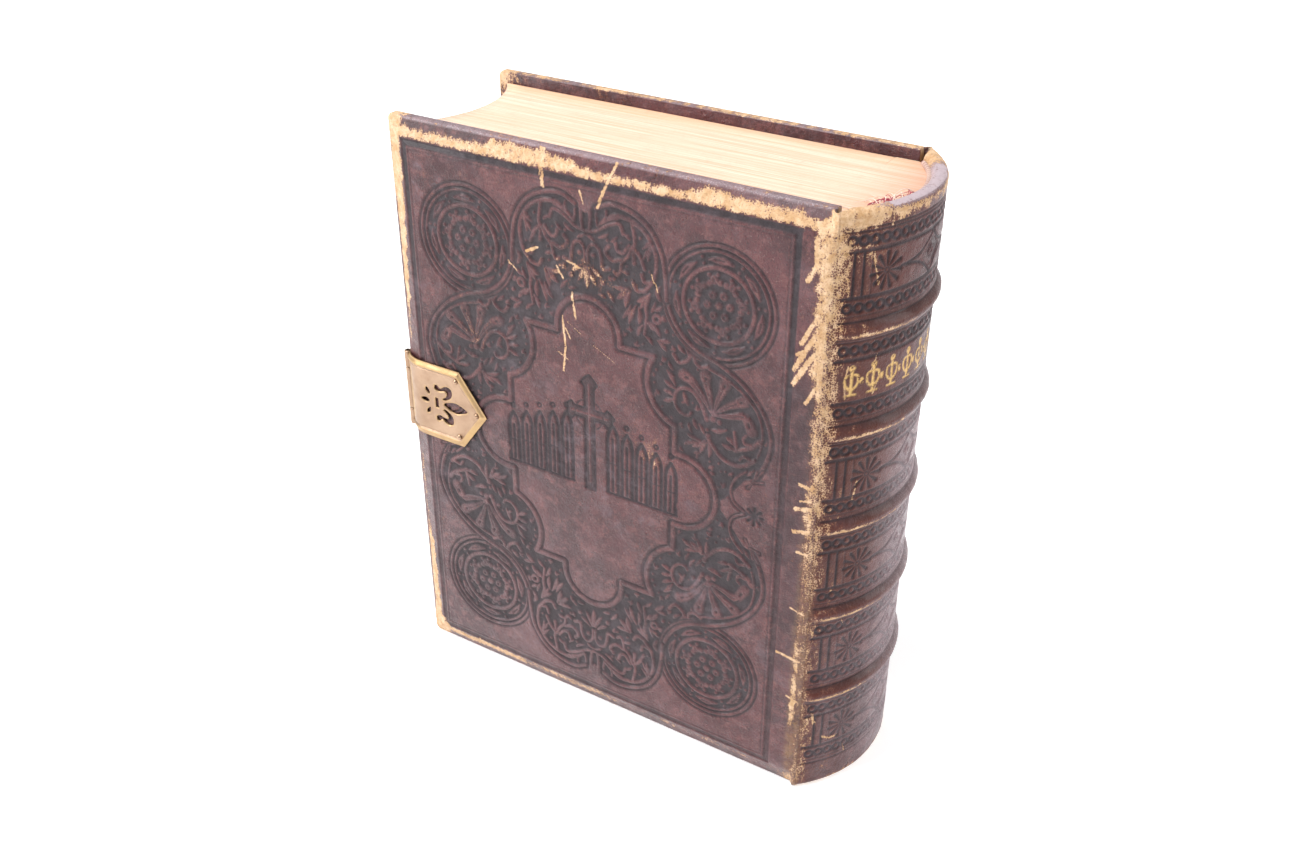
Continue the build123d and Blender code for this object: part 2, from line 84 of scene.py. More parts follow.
KNUCKLE_X = JOINTS["clasp_arm_hinge"]["pos_m"][0] / MM
KNUCKLE_Y = abs(JOINTS["clasp_arm_hinge"]["pos_m"][1]) / MM
PLATE_Z = JOINTS["clasp_arm_hinge"]["pos_m"][2] / MM

BEVEL_WIDTH = 12.0
BEVEL_DEPTH = 5.0
TURN_IN_WIDTH = 16.0
JOINT_STRIP = 2.5  # half width of the flexing strip of leather at each joint


# ---- small numeric helpers ---------------------------------------------------------------
def smoothstep(low, high, value):
    t = np.clip((value - low) / (high - low), 0, 1)
    return t * t * (3 - 2 * t)


def bump(value, centre, half_width):
    """1 at the centre, falling smoothly to 0 at half_width away."""
    return 1 - smoothstep(0, half_width, np.abs(value - centre))


def ripple(x, y, wavelength, seed):
    """Smooth seeded unevenness in two directions, about -1 to 1."""
    rng = np.random.default_rng(seed)
    total = np.zeros(np.broadcast(x, y).shape)
    for _ in range(7):
        angle = rng.uniform(0, math.tau)
        k = math.tau / (wavelength * rng.uniform(0.6, 1.8))
        total = total + np.sin(k * (x * math.cos(angle) + y * math.sin(angle)) + rng.uniform(0, math.tau))
    return total / 4


def flow(points, closed=False, per=6):
    """Smooth curve through given points (Catmull-Rom)."""
    p = np.array(points, float)
    if closed:
        p = np.vstack([p[-1], p, p[:2]])
    else:
        p = np.vstack([2 * p[0] - p[1], p, 2 * p[-1] - p[-2]])
    t = np.linspace(0, 1, per, endpoint=False)[:, None]
    runs = []
    for a, b, c, d in zip(p, p[1:], p[2:], p[3:]):
        runs.append(
            0.5 * (2 * b + (c - a) * t + (2 * a - 5 * b + 4 * c - d) * t**2 + (3 * b - a - 3 * c + d) * t**3)
        )
    runs.append(p[-2][None, :])
    return np.vstack(runs)


def arc(cx, cy, radius, start, end, steps=24):
    """Points on a circle from start to end degrees."""
    a = np.radians(np.linspace(start, end, steps))
    return np.stack([cx + radius * np.cos(a), cy + radius * np.sin(a)], 1)


def segment_gap(x, y, start, end):
    """Distance from (x, y) to a straight segment, and the share of the segment at its nearest point."""
    dx, dy = end[0] - start[0], end[1] - start[1]
    t = np.clip(((x - start[0]) * dx + (y - start[1]) * dy) / max(dx * dx + dy * dy, 1e-9), 0, 1)
    return np.hypot(x - start[0] - t * dx, y - start[1] - t * dy), t


def inside_outline(outline, x, y):
    """Which points lie inside a closed outline."""
    inside = np.zeros(x.shape, bool)
    for (x0, y0), (x1, y1) in zip(outline, np.roll(outline, -1, 0)):
        if y0 != y1:
            inside ^= ((y0 > y) != (y1 > y)) & (x < (x1 - x0) * (y - y0) / (y1 - y0) + x0)
    return inside


# ---- pressed tooling ---------------------------------------------------------------------
GROUND = -0.75  # level of the pressed ground under the motifs
MOTIF = -0.02  # level of the tops of the motifs
STRAP = 0.08  # level of the tops of the straps


class Tooling:
    """Height and ink of a pressed pattern, on a fine grid over (u, v) in millimetres."""

    def __init__(self, width, height, step=0.3):
        self.step = step
        self.u = np.arange(0, width + step, step)
        self.v = np.arange(0, height + step, step)
        self.height = np.zeros((len(self.v), len(self.u)))
        self.ink = np.zeros_like(self.height)
        self.gilt = np.zeros_like(self.height)

    def near(self, points, reach):
        """The part of the grid round the points: its slices and its coordinates."""
        low = points.min(0) - reach
        high = points.max(0) + reach
        iu = slice(max(np.searchsorted(self.u, low[0]), 0), np.searchsorted(self.u, high[0]))
        iv = slice(max(np.searchsorted(self.v, low[1]), 0), np.searchsorted(self.v, high[1]))
        return (iv, iu), *np.meshgrid(self.u[iu], self.v[iv])

    def distance(self, points, radii):
        """Share of the stroke's half width at which each nearby grid point lies."""
        points = np.array(points, float)
        radii = np.broadcast_to(np.array(radii, float), (len(points),))
        where, u, v = self.near(points, radii.max())
        best = np.full(u.shape, np.inf)
        for p, q, rp, rq in zip(points, points[1:], radii, radii[1:]):
            gap, t = segment_gap(u, v, p, q)
            best = np.minimum(best, gap / (rp + t * (rq - rp)))
        return where, best

    def raised(self, points, radii, level=MOTIF):
        """A rounded ridge along the points."""
        where, t = self.distance(points, radii)
        crown = np.clip(1 - t**3, 0, 1) ** 0.7
        inside = t < 1
        h = self.height[where]
        self.height[where] = np.where(inside, np.maximum(h, GROUND + (level - GROUND) * crown), h)
        k = self.ink[where]
        self.ink[where] = np.where(inside, np.minimum(k, 1 - crown), k)

    def pressed(self, points, radii, depth=GROUND, ink=1.0):
        """A rounded groove along the points."""
        where, t = self.distance(points, radii)
        hollow = np.clip(1 - t**4, 0, 1)
        self.height[where] = np.minimum(self.height[where], depth * hollow)
        self.ink[where] = np.maximum(self.ink[where], ink * hollow)

    def strap(self, points, inner, outer):
        """Raised fillet between two dark grooves."""
        self.pressed(points, outer)
        self.raised(points, inner, STRAP)

    def fill(self, polygon, level=GROUND, ink=1.0):
        """Press the inside of a closed outline flat."""
        polygon = np.array(polygon, float)
        where, u, v = self.near(polygon, 0.5)
        inside = inside_outline(polygon, u, v)
        self.height[where] = np.where(inside, level, self.height[where])
        self.ink[where] = np.where(inside, ink, self.ink[where])

    def leaf(self, base, tip, bend, width):
        """Tapered curved leaf from base to tip."""
        base = np.array(base, float)
        tip = np.array(tip, float)
        across = np.array([base[1] - tip[1], tip[0] - base[0]])
        middle = (base + tip) / 2 + bend * across
        t = np.linspace(0, 1, 8)[:, None]
        line = (1 - t) ** 2 * base + 2 * t * (1 - t) * middle + t**2 * tip
        radii = 1.15 * width * (0.3 + 0.7 * np.sin(np.pi * t[:, 0] ** 1.4)) * (1 - 0.35 * t[:, 0])
        self.raised(line, radii)

    def scroll(self, cx, cy, radius, start, turns, width):
        """Spiral tendril that winds in to a bead."""
        t = np.linspace(0, 1, 22)
        a = np.radians(start + 360 * turns * t)
        r = radius * (1 - 0.72 * t)
        self.raised(np.stack([cx + r * np.cos(a), cy + r * np.sin(a)], 1), width)
        self.bead(cx + r[-1] * math.cos(a[-1]), cy + r[-1] * math.sin(a[-1]), 1.35 * width)

    def bead(self, cx, cy, radius, level=MOTIF):
        """A round pip."""
        self.raised([(cx, cy), (cx + 0.01, cy)], radius, level)

    def softened(self):
        """This tooling with every field blurred by one grid step."""
        for field in ("height", "ink", "gilt"):
            a = getattr(self, field)
            b = np.pad(a, 1, mode="edge")
            setattr(self, field, (2 * a + b[:-2, 1:-1] + b[2:, 1:-1] + b[1:-1, :-2] + b[1:-1, 2:]) / 6)
        return self

    def sample(self, field, u, v):
        """Bilinear value at (u, v); 0 outside the grid."""
        a = getattr(self, field)
        fu = np.clip(u / self.step, 0, len(self.u) - 1.001)
        fv = np.clip(v / self.step, 0, len(self.v) - 1.001)
        iu = fu.astype(int)
        iv = fv.astype(int)
        du = fu - iu
        dv = fv - iv
        value = (
            a[iv, iu] * (1 - du) * (1 - dv) + a[iv, iu + 1] * du * (1 - dv)
            + a[iv + 1, iu] * (1 - du) * dv + a[iv + 1, iu + 1] * du * dv
        )
        return np.where((u <= self.u[-1]) & (v <= self.v[-1]), value, 0)


# ---- the stamped cover design ------------------------------------------------------------
# One quarter, measured from the ornament's centre: u across, v up or down.
LOBE = (0.0, 73.5, 18.5)  # top and bottom lobe of the cartouche: centre and radius
BITE = (57.0, 58.0, 22.8)  # hollow corner
SIDE_LOBE = (53.0, 0.0, 21.0)
ROUNDEL = (72.0, 105.5)


def cartouche():
    """Quarter outline of the central panel, from its top to its side."""
    return np.vstack([
        arc(*LOBE, 90, 0),
        [(18.5, 70.5), (37.9, 70.5)],
        arc(*BITE, 146.8, 252.1),
        [(50.0, 20.8)],
        arc(*SIDE_LOBE, 98.0, 0),
    ])


def strap_line():
    """The strap that bulges round the shell, crosses the roundel and curls inwards."""
    return flow([
        (95.5, 21.5), (100.2, 32.0), (102.0, 44.0), (97.5, 57.0), (87.0, 68.5), (74.0, 76.0),
        (62.0, 80.0), (53.0, 86.5), (47.5, 94.5), (44.8, 102.0),
    ])


def pouch_line():
    """The strap that closes the compartment under the cartouche."""
    return flow([
        (44.5, 101.5), (43.8, 112.0), (41.5, 124.0), (35.0, 134.5), (25.0, 140.5), (14.0, 142.0),
        (6.0, 138.5),
    ])


def draw_motifs(t, vines, leaves, beads):
    """Vines (points, start and end half width), leaves (base, tip, bend, half width), beads."""
    for points, start_width, end_width in vines:
        line = flow(points)
        t.raised(line, np.linspace(start_width, end_width, len(line)))
    for base, tip, bend, width in leaves:
        t.leaf(base, tip, bend, width)
    for cx, cy, radius in beads:
        t.bead(cx, cy, radius)


def draw_shell(t):
    """Scallop shell, scrolls and sprigs in the side compartment."""
    foot = np.array([70.8, 49.0])
    petals = [
        [(80.0, 50.6), (87.5, 52.6), (92.0, 46.0)],
        [(78.0, 55.0), (83.5, 58.5), (87.0, 60.5)],
        [(73.5, 57.5), (76.0, 63.5), (77.0, 67.0)],
        [(69.0, 58.0), (67.0, 64.5), (66.2, 68.5)],
        [(65.5, 56.5), (59.5, 63.0), (54.5, 65.5)],
    ]
    for path in petals:
        line = flow([foot, *path])
        t.raised(line, np.linspace(0.8, 3.4, len(line)), 0.02)
    for path in petals:
        line = flow([foot, *path])
        t.pressed(line[2:13], 0.32, GROUND * 0.6, 0.7)
        t.pressed(line[-4:-2], 0.85, GROUND * 0.8, 0.9)
    for a, b in zip(petals, petals[1:]):
        line = flow([foot, *((np.array(p) + np.array(q)) / 2 for p, q in zip(a, b))])
        t.pressed(line[2:], 0.45, GROUND, 1.0)
    vines = [
        ([(66.7, 47.6), (64.2, 53.3), (59.3, 58.3), (53.5, 58.2), (50.1, 54.5), (50.1, 48.7), (53.5, 44.7),
          (57.5, 44.4), (58.9, 46.4)], 1.3, 0.9),
        ([(68.4, 35.6), (71.3, 32.1), (75.9, 27.2), (82.8, 24.9), (89.0, 26.6), (94.0, 30.8)], 1.2, 1.4),
        ([(91.5, 30.6), (88.0, 31.2), (86.2, 28.8)], 1.0, 0.8),
        ([(96.0, 41.5), (92.5, 37.6), (88.0, 35.2), (83.3, 33.2)], 1.6, 1.1),
        ([(92.0, 38.6), (88.6, 38.4), (87.6, 41.0), (89.0, 43.0)], 1.1, 0.9),
        ([(84.5, 33.5), (83.5, 38.0), (82.6, 43.0)], 1.2, 0.9),
        ([(59.8, 78.5), (60.6, 74.0), (63.6, 72.0), (67.4, 73.6)], 1.0, 1.2),
        ([(59.0, 79.0), (56.4, 73.8), (51.8, 71.5), (48.6, 75.0)], 1.2, 1.1),
        ([(95.5, 33.0), (97.2, 40.0), (97.3, 48.0), (94.5, 56.5), (88.0, 63.5), (78.0, 69.5), (68.0, 72.5)],
         0.6, 0.8),
    ]
    leaves = [
        ((69.0, 34.6), (69.5, 25.0), 0.12, 1.6), ((68.0, 33.0), (64.6, 25.8), -0.1, 1.5),
        ((67.0, 33.4), (60.2, 28.2), 0.1, 1.6), ((63.0, 31.2), (55.6, 28.0), -0.15, 1.5),
        ((64.5, 32.6), (57.0, 34.4), 0.12, 1.5), ((84.0, 33.6), (76.4, 34.6), 0.12, 1.6),
        ((83.4, 35.6), (78.4, 39.0), -0.12, 1.5), ((78.4, 42.8), (70.4, 40.6), 0.16, 1.7),
        ((62.8, 38.6), (60.2, 43.4), 0.1, 1.4), ((59.6, 35.6), (57.6, 40.4), 0.1, 1.2),
        ((63.6, 41.6), (66.6, 36.8), 0.1, 1.2), ((57.4, 50.0), (54.6, 56.4), 0.1, 1.5),
        ((56.6, 52.4), (53.6, 50.4), 0.1, 1.0), ((49.6, 51.4), (43.6, 48.6), 0.1, 1.5),
        ((49.6, 53.0), (43.4, 54.4), -0.1, 1.5), ((50.4, 57.0), (44.0, 59.8), 0.1, 1.5),
        ((50.2, 58.6), (46.4, 63.4), -0.1, 1.4), ((49.4, 63.0), (45.0, 65.6), 0.1, 1.2),
        ((48.4, 66.4), (46.0, 70.2), 0.1, 1.1), ((93.8, 25.6), (88.4, 21.6), 0.2, 1.5),
        ((55.0, 77.0), (51.0, 80.5), 0.15, 1.3), ((57.0, 76.4), (54.4, 82.5), -0.1, 1.2),
    ]
    beads = [
        (67.9, 39.8, 1.1), (68.6, 36.4, 1.7), (74.4, 45.8, 1.6), (67.6, 45.6, 1.6), (71.0, 46.6, 2.0),
        (47.2, 57.4, 0.9), (62.0, 70.4, 0.9),
    ]
    draw_motifs(t, vines, leaves, beads)


def fill_ground(t, count, seed):
    """Small sprigs and seeds wherever the stamped ground is still empty."""
    rng = np.random.default_rng(seed)
    for _ in range(count):
        u, v = rng.uniform(0.5, 104), rng.uniform(0.5, 142)
        row, column = int(v / t.step), int(u / t.step)
        room = int(1.7 / t.step)
        patch = t.height[max(row - room, 0):row + room + 1, max(column - room, 0):column + room + 1]
        if patch.size < room**2 or patch.max() > GROUND + 0.02 or patch.min() < GROUND - 0.02:
            continue
        turn = rng.uniform(0, 360)
        if rng.random() < 0.35:
            t.bead(u, v, rng.uniform(0.6, 0.85))
        else:
            for spread, size in ((-50, 2.0), (0, 2.9), (50, 2.0)):
                a = math.radians(turn + spread)
                t.leaf((u, v), (u + size * math.cos(a), v + size * math.sin(a)), 0.15, 0.75)


def draw_roundel(t):
    """Two rings with scrolls between them, round a petalled rosette."""
    cx, cy = ROUNDEL

    def around(radius, degrees):
        a = math.radians(degrees)
        return cx + radius * math.cos(a), cy + radius * math.sin(a)

    t.fill(arc(cx, cy, 29.5, 0, 360, 72))
    t.strap(arc(cx, cy, 29.0, 0, 360, 90), 1.0, 2.3)
    t.raised(arc(cx, cy, 26.2, 0, 360, 90), 0.75, 0.04)
    t.raised(arc(cx, cy, 18.4, 0, 360, 72), 1.3, 0.08)
    for i in range(7):
        a = 360 / 7 * i + 20
        t.raised(arc(cx, cy, 22.2, a, a + 34, 9), [0.5, 1.0, 1.5, 2.0, 2.2, 2.0, 1.5, 0.9, 0.5], 0.02)
        t.pressed(arc(cx, cy, 22.4, a + 12, a + 24, 4), 0.5, GROUND * 0.7, 0.8)
        t.bead(*around(24.0, a + 41), 1.0)
        t.bead(*around(20.9, a + 42), 0.9)
    for i in range(8):
        a = 45 * i + 12
        t.bead(*around(12.6, a), 2.5, 0.02)
        for radius, turn, size in ((11.4, 14, 1.8), (15.2, 9, 1.2)):
            for way in (turn, -turn):
                t.bead(*around(radius, a + way), size, 0.02)
        t.pressed([around(11.8, a), around(13.2, a)], 0.5, GROUND * 0.7, 0.8)
    for i in range(6):
        t.bead(*around(5.8, 60 * i + 5), 2.3, 0.04)
        t.pressed([around(5.8, 60 * i + 5), around(5.9, 60 * i + 5)], 0.75, GROUND * 0.8, 0.9)
    t.bead(cx, cy, 2.2, 0.04)


def draw_pouch(t):
    """Lilies, scrolls and palmettes in the compartment over or under the cartouche."""
    vines = [
        ([(32.4, 103.2), (37.4, 109.5), (38.9, 118.0), (37.6, 125.0), (32.8, 132.0), (25.7, 136.2),
          (17.6, 137.2), (13.2, 135.2)], 1.2, 1.3),
        ([(33.0, 103.4), (28.4, 102.6), (26.2, 106.0)], 1.3, 1.1),
        ([(36.5, 108.5), (32.4, 107.8), (31.0, 111.2)], 1.0, 1.2),
        ([(25.7, 135.5), (27.2, 126.0), (25.2, 122.6), (23.5, 118.6), (20.1, 114.6), (19.2, 110.2),
          (17.4, 107.8), (15.6, 109.2)], 1.1, 1.0),
        ([(32.6, 114.2), (30.0, 119.8), (27.0, 122.8)], 1.1, 1.3),
        ([(26.8, 116.0), (26.4, 120.8)], 1.4, 1.0),
        ([(19.8, 116.0), (14.6, 114.6), (10.8, 118.2), (12.8, 121.2)], 1.2, 1.3),
        ([(24.0, 124.0), (20.6, 119.8), (17.6, 120.2), (16.4, 123.4)], 1.0, 1.2),
        ([(13.0, 109.8), (9.2, 109.2), (8.6, 114.0), (7.2, 118.4), (4.2, 120.2), (1.2, 117.4), (0.8, 110.6)],
         1.3, 0.9),
        ([(32.6, 81.0), (33.8, 90.3), (33.3, 95.3), (34.6, 101.0)], 0.9, 1.4),
        ([(20.8, 128.8), (18.6, 133.4), (12.5, 131.6), (5.9, 127.4), (0.6, 126.2)], 1.1, 1.0),
        ([(18.2, 136.0), (12.5, 134.0), (6.4, 130.0)], 0.7, 0.7),
        ([(6.9, 130.0), (11.3, 135.0), (11.0, 139.0), (7.6, 139.6), (5.9, 135.4), (6.6, 130.5)], 0.85, 0.85),
        ([(2.0, 127.2), (2.6, 133.0), (2.2, 138.4)], 1.0, 1.4),
        ([(46.8, 103.6), (44.2, 100.8), (40.6, 101.6), (39.6, 104.8), (41.6, 106.6)], 1.2, 1.4),
    ]
    leaves = [
        ((35.4, 102.4), (28.6, 97.2), 0.18, 2.0), ((35.4, 101.4), (30.4, 94.0), -0.1, 1.5),
        ((24.6, 101.4), (22.0, 92.6), -0.1, 2.0), ((22.6, 101.6), (17.2, 95.8), 0.12, 2.0),
        ((23.8, 102.2), (15.4, 101.6), 0.1, 1.6), ((29.4, 94.0), (29.6, 85.6), 0.15, 1.7),
        ((28.0, 94.6), (24.0, 84.4), -0.12, 1.7), ((25.0, 94.2), (20.4, 86.6), 0.1, 1.5),
        ((31.6, 85.6), (28.8, 79.4), -0.15, 1.6), ((32.6, 80.6), (37.2, 76.6), 0.15, 1.2),
        ((33.8, 88.4), (37.6, 84.4), 0.12, 1.4), ((36.4, 88.0), (41.4, 82.0), 0.1, 1.6),
        ((40.0, 79.6), (44.8, 75.4), 0.1, 1.6), ((41.2, 80.4), (46.6, 80.6), -0.1, 1.5),
        ((34.6, 118.8), (36.0, 126.4), 0.12, 1.5), ((31.6, 124.2), (36.4, 129.6), -0.12, 1.5),
        ((31.8, 119.0), (33.6, 124.0), -0.1, 1.0), ((19.6, 110.4), (24.0, 109.4), 0.2, 1.3),
        ((20.8, 129.4), (24.6, 126.8), 0.15, 1.2), ((17.4, 126.8), (13.8, 123.6), 0.1, 1.0),
        ((0.4, 108.0), (0.0, 97.0), 0.0, 1.7), ((1.2, 108.2), (5.2, 99.6), -0.1, 1.6),
        ((2.4, 109.0), (8.6, 104.6), -0.12, 1.4), ((11.6, 98.0), (15.4, 93.2), 0.1, 1.4),
        ((6.6, 95.4), (10.6, 94.4), 0.1, 1.3), ((0.0, 124.2), (5.0, 121.8), 0.15, 1.2),
        ((42.4, 97.8), (38.4, 94.8), 0.1, 1.4), ((38.4, 98.8), (36.2, 93.2), 0.1, 1.2),
        ((7.2, 124.4), (12.6, 127.6), -0.15, 1.2),
    ]
    beads = [
        (3.9, 114.6, 1.6), (12.0, 124.0, 1.0), (15.6, 105.3, 1.0), (9.2, 101.8, 1.6), (4.4, 93.6, 0.9),
        (43.4, 91.8, 1.9), (22.0, 106.4, 0.9), (30.0, 129.0, 0.9), (22.6, 113.4, 0.8), (35.4, 113.6, 0.8),
        (14.0, 90.4, 0.8), (44.6, 85.6, 1.3),
    ]
    draw_motifs(t, vines, leaves, beads)
    t.raised(arc(39.4, 90.6, 2.0, 0, 360, 14), 1.0)


def cover_tooling():
    """The whole stamped quarter."""
    t = Tooling(107, 148)
    panel = cartouche()
    strap = strap_line()
    pouch = pouch_line()
    foot = [(90.0, 19.0), (80.0, 6.0), (74.5, 0.0)]
    t.fill(np.vstack([[(0.0, 91.5), (0.0, 135.0)], pouch[::-1], strap[::-1], foot]))
    draw_pouch(t)
    draw_shell(t)
    fill_ground(t, 1500, 19)
    draw_roundel(t)
    t.strap(strap, 1.15, 2.6)
    t.strap(pouch, 1.25, 2.7)
    # sprig and flower at the side
    ogee = flow([(90.0, 23.5), (84.5, 18.0), (82.0, 11.0), (84.0, 4.5), (91.0, 0.0)])
    t.strap(ogee, 0.75, 1.8)
    for tip in ((99.0, 26.6), (95.8, 25.4), (99.4, 20.4), (91.4, 15.0)):
        t.pressed([(93.6, 18.4), tip], [0.6, 1.6], -0.8)
        t.raised([(93.8, 18.8), tip], [0.3, 0.7])
    for a in range(0, 360, 45):
        tip = (95.6 + 4.6 * math.cos(math.radians(a)), 4.6 * math.sin(math.radians(a)))
        t.pressed([(95.6, 0.0), tip], [0.5, 1.2], -0.7)
    # the cartouche itself is plain leather inside a bold border
    inside = np.vstack([[(0, 0)], panel])
    t.fill(inside, 0.0, 0.0)
    t.pressed(panel, 3.4, -0.85)
    t.raised(panel, 1.7, 0.12)
    return t.softened()


PANEL_LOW = 146.0  # height of the foot of the middle ornament


def middle_tooling():
    """Generic ornament for the middle panel: a budded cross between lancet arches."""
    t = Tooling(60, 78)
    for i, u in enumerate((14.0, 22.6, 31.2, 39.8, 48.4)):
        top = 41.0 - 2.6 * i
        side = flow([(u - 3.1, top - 7), (u - 2.3, top - 2.5), (u, top + 1.5)])
        lancet = np.vstack([[(u - 3.1, 3.0)], side])
        t.pressed(np.vstack([lancet, (2 * u, 0) + lancet[::-1] * (-1, 1)]), 1.25, -0.75)
        t.pressed([(u, 4.0), (u, top - 6.0)], 0.85, -0.6, 1.0)
        t.pressed([(u - 3.8, 2.2), (u + 3.8, 2.2)], 0.9, -0.7)
        t.pressed(arc(u, top + 5.5, 1.2, 0, 360, 12), 0.65, -0.6)
        t.pressed([(u - 1.9, 0.5 * top), (u + 1.9, 0.5 * top)], 0.5, -0.5, 0.9)
    t.pressed([(10.0, -1.2), (52.5, -1.2)], 0.8, -0.5, 0.9)
    t.scroll(55.5, 8.0, 3.6, 120, 1.0, 0.7)
    outline = [
        (2.8, 0.0), (2.8, 42.0), (9.0, 42.0), (11.0, 40.0), (13.5, 42.0), (13.5, 48.0), (11.0, 50.0),
        (9.0, 48.0), (2.8, 48.0), (2.8, 60.0), (4.8, 62.5), (3.0, 65.0), (0.0, 67.5),
    ]
    t.fill([(0, 0)] + outline, -0.4, 0.75)
    t.pressed(outline, 0.9, -0.8)
    t.raised([(0, 5), (0, 62)], 0.9, 0.0)
    t.raised([(0, 45), (11, 45)], 0.9, 0.0)
    t.bead(0, 45, 2.0)
    t.pressed(arc(0, 45, 8.5, -60, 60, 20), 0.6, -0.4, 0.8)
    return t.softened()


COVER_TOOLING = cover_tooling()
MIDDLE_TOOLING = middle_tooling()


# ---- spine tooling -----------------------------------------------------------------------
PANEL_PITCH = BAND_HEIGHTS[0] - BAND_HEIGHTS[1]
PANEL_TOPS = [BAND_HEIGHTS[0] + PANEL_PITCH - PANEL_PITCH * i for i in range(6)]
SPINE_REACH = 64.9  # the tooled lines run this far from the joint, past the middle of the back


def chain_roll(t, v):
    """Chain of dark pressed rings round the spine, between two fine lines."""
    for i in range(11):
        u = 9.0 + 5.5 * i
        t.pressed(arc(u, v, 2.05, 0, 360, 24), 0.95, -0.62)
        t.bead(u, v, 1.0, 0.02)
        for rise in (1.3, -1.3):
            t.pressed([(u + 2.3, v - rise), (u + 3.2, v + rise)], 0.6, -0.55)
    for line in (v - 3.9, v + 3.9):
        t.pressed([(6.0, line), (SPINE_REACH, line)], 0.4, -0.35, 0.8)


def spine_tooling(titled):
    """One panel of the spine: u runs round the back to its middle, v down from the band above."""
    t = Tooling(65, 52, 0.25)
    for v in (9.2, 40.3):
        chain_roll(t, v)
    for v, half_width in ((3.6, 0.45), (5.0, 0.3), (14.2, 0.8), (35.4, 0.8), (46.9, 0.5)):
        t.pressed([(5.0, v), (SPINE_REACH, v)], half_width, -0.5)
    if titled:
        for i in range(5):
            draw_gilt_spray(t, SPINE_ARC / 2 - 11.4 * (4 - i))
    else:
        for u in (10.8, 15.4):
            t.pressed([(u, 15.2), (u, 34.4)], 0.85, -0.6)
        t.pressed([(19.5, 15.2), (19.5, 34.4)], 0.35, -0.35, 0.6)
        middle = 24.8
        for i in range(11):
            a = math.radians(i * 360 / 11 + 8)
            foot, tip = ((27.5 + r * math.cos(a), middle + r * math.sin(a)) for r in (2.2, 8.2))
            t.pressed([foot, tip], [0.35, 1.25], -0.6)
        t.pressed(arc(27.5, middle, 1.2, 0, 360, 12), 0.45, -0.5)
        ogee = flow([(36.0, 0), (46.0, -1.2), (54.0, -4.8), (59.5, -10.0)], per=8)
        for sign in (1, -1):
            t.pressed((0, middle) + ogee * (1, sign), 0.8, -0.6)
        t.fill([(50.0, middle), (57.5, 31.0), (65.0, 33.5), (65.0, 16.1), (57.5, 18.6)], -0.45, 0.35)
        for rise in (7.5, -7.5):
            t.raised([(57.5, middle), (65.0, middle + rise)], 1.0, 0.1)
    return t.softened()


def draw_gilt_spray(t, u):
    """Generic gilt fleuron."""
    petal = flow([(0, 29.5), (-3.0, 26.5), (-3.2, 22.5), (-1.4, 21.4)])
    strokes = [
        (flow([(u, 31.0), (u, 22.0), (u, 18.8)]), 0.75),
        ((u, 0) + petal, 0.6),
        ((u, 0) + petal * (-1, 1), 0.6),
        (arc(u, 18.2, 1.1, 0, 360, 12), 0.5),
        ([(u - 2.6, 31.6), (u + 2.6, 31.6)], 0.55),
        ([(u + 5.2, 25.8), (u + 5.2, 24.2)], 0.9),
    ]
    for line, half_width in strokes:
        t.pressed(line, half_width, -0.3, 0.0)
        where, share = t.distance(line, half_width)
        t.gilt[where] = np.maximum(t.gilt[where], share < 1)


PLAIN_PANEL = spine_tooling(False)
TITLE_PANEL = spine_tooling(True)


# ---- meshes ------------------------------------------------------------------------------
def make_mesh(name, points, faces, fields=None):
    """Smooth-shaded mesh from points in millimetres; fields become float attributes.

    The faces come in blocks of one size and in any sense: they are all turned outward here.
    """
    mesh = bpy.data.meshes.new(name)
    points = np.asarray(points, np.float64)
    blocks = [np.asarray(block, np.int32) for block in faces]
    mesh.vertices.add(len(points))
    mesh.vertices.foreach_set("co", (points * MM).astype(np.float32).ravel())
    sizes = np.concatenate([np.full(len(b), b.shape[1], np.int32) for b in blocks])
    mesh.loops.add(int(sizes.sum()))
    mesh.loops.foreach_set("vertex_index", np.concatenate([b.ravel() for b in blocks]))
    mesh.polygons.add(len(sizes))
    mesh.polygons.foreach_set("loop_start", (np.cumsum(sizes) - sizes).astype(np.int32))
    mesh.polygons.foreach_set("use_smooth", np.ones(len(sizes), bool))
    mesh.update(calc_edges=True)
    mesh.validate()
    outward = bmesh.new()
    outward.from_mesh(mesh)
    bmesh.ops.recalc_face_normals(outward, faces=outward.faces)
    outward.to_mesh(mesh)
    outward.free()
    rest = mesh.attributes.new("rest", "FLOAT_VECTOR", "POINT")
    rest.data.foreach_set("vector", points.astype(np.float32).ravel())
    for key, values in (fields or {}).items():
        attribute = mesh.attributes.new(key, "FLOAT", "POINT")
        attribute.data.foreach_set("value", np.broadcast_to(values, len(points)).astype(np.float32))
    piece = bpy.data.objects.new(name, mesh)
    bpy.context.scene.collection.objects.link(piece)
    return piece


def grid_faces(rows, columns, first=0, closed=False):
    """Quads of a grid of points stored row by row; closed joins the last column to the first."""
    across = columns if closed else columns - 1
    r, c = np.meshgrid(np.arange(rows - 1) * columns, np.arange(across), indexing="ij")
    after = (c + 1) % columns
    return first + np.stack([r + c, r + after, r + columns + after, r + columns + c], -1).reshape(-1, 4)


def zip_lines(points, a, b):
    """Triangles between two rows of points that run side by side."""
    def lengths(row):
        steps = np.linalg.norm(np.diff(points[row], axis=0), axis=1)
        return np.concatenate([[0], np.cumsum(steps)]) / steps.sum()
    la, lb = lengths(a), lengths(b)
    i = j = 0
    triangles = []
    while i < len(a) - 1 or j < len(b) - 1:
        if j == len(b) - 1 or (i < len(a) - 1 and la[i + 1] <= lb[j + 1]):
            triangles.append((a[i], a[i + 1], b[j]))
            i += 1
        else:
            triangles.append((a[i], b[j + 1], b[j]))
            j += 1
    return triangles


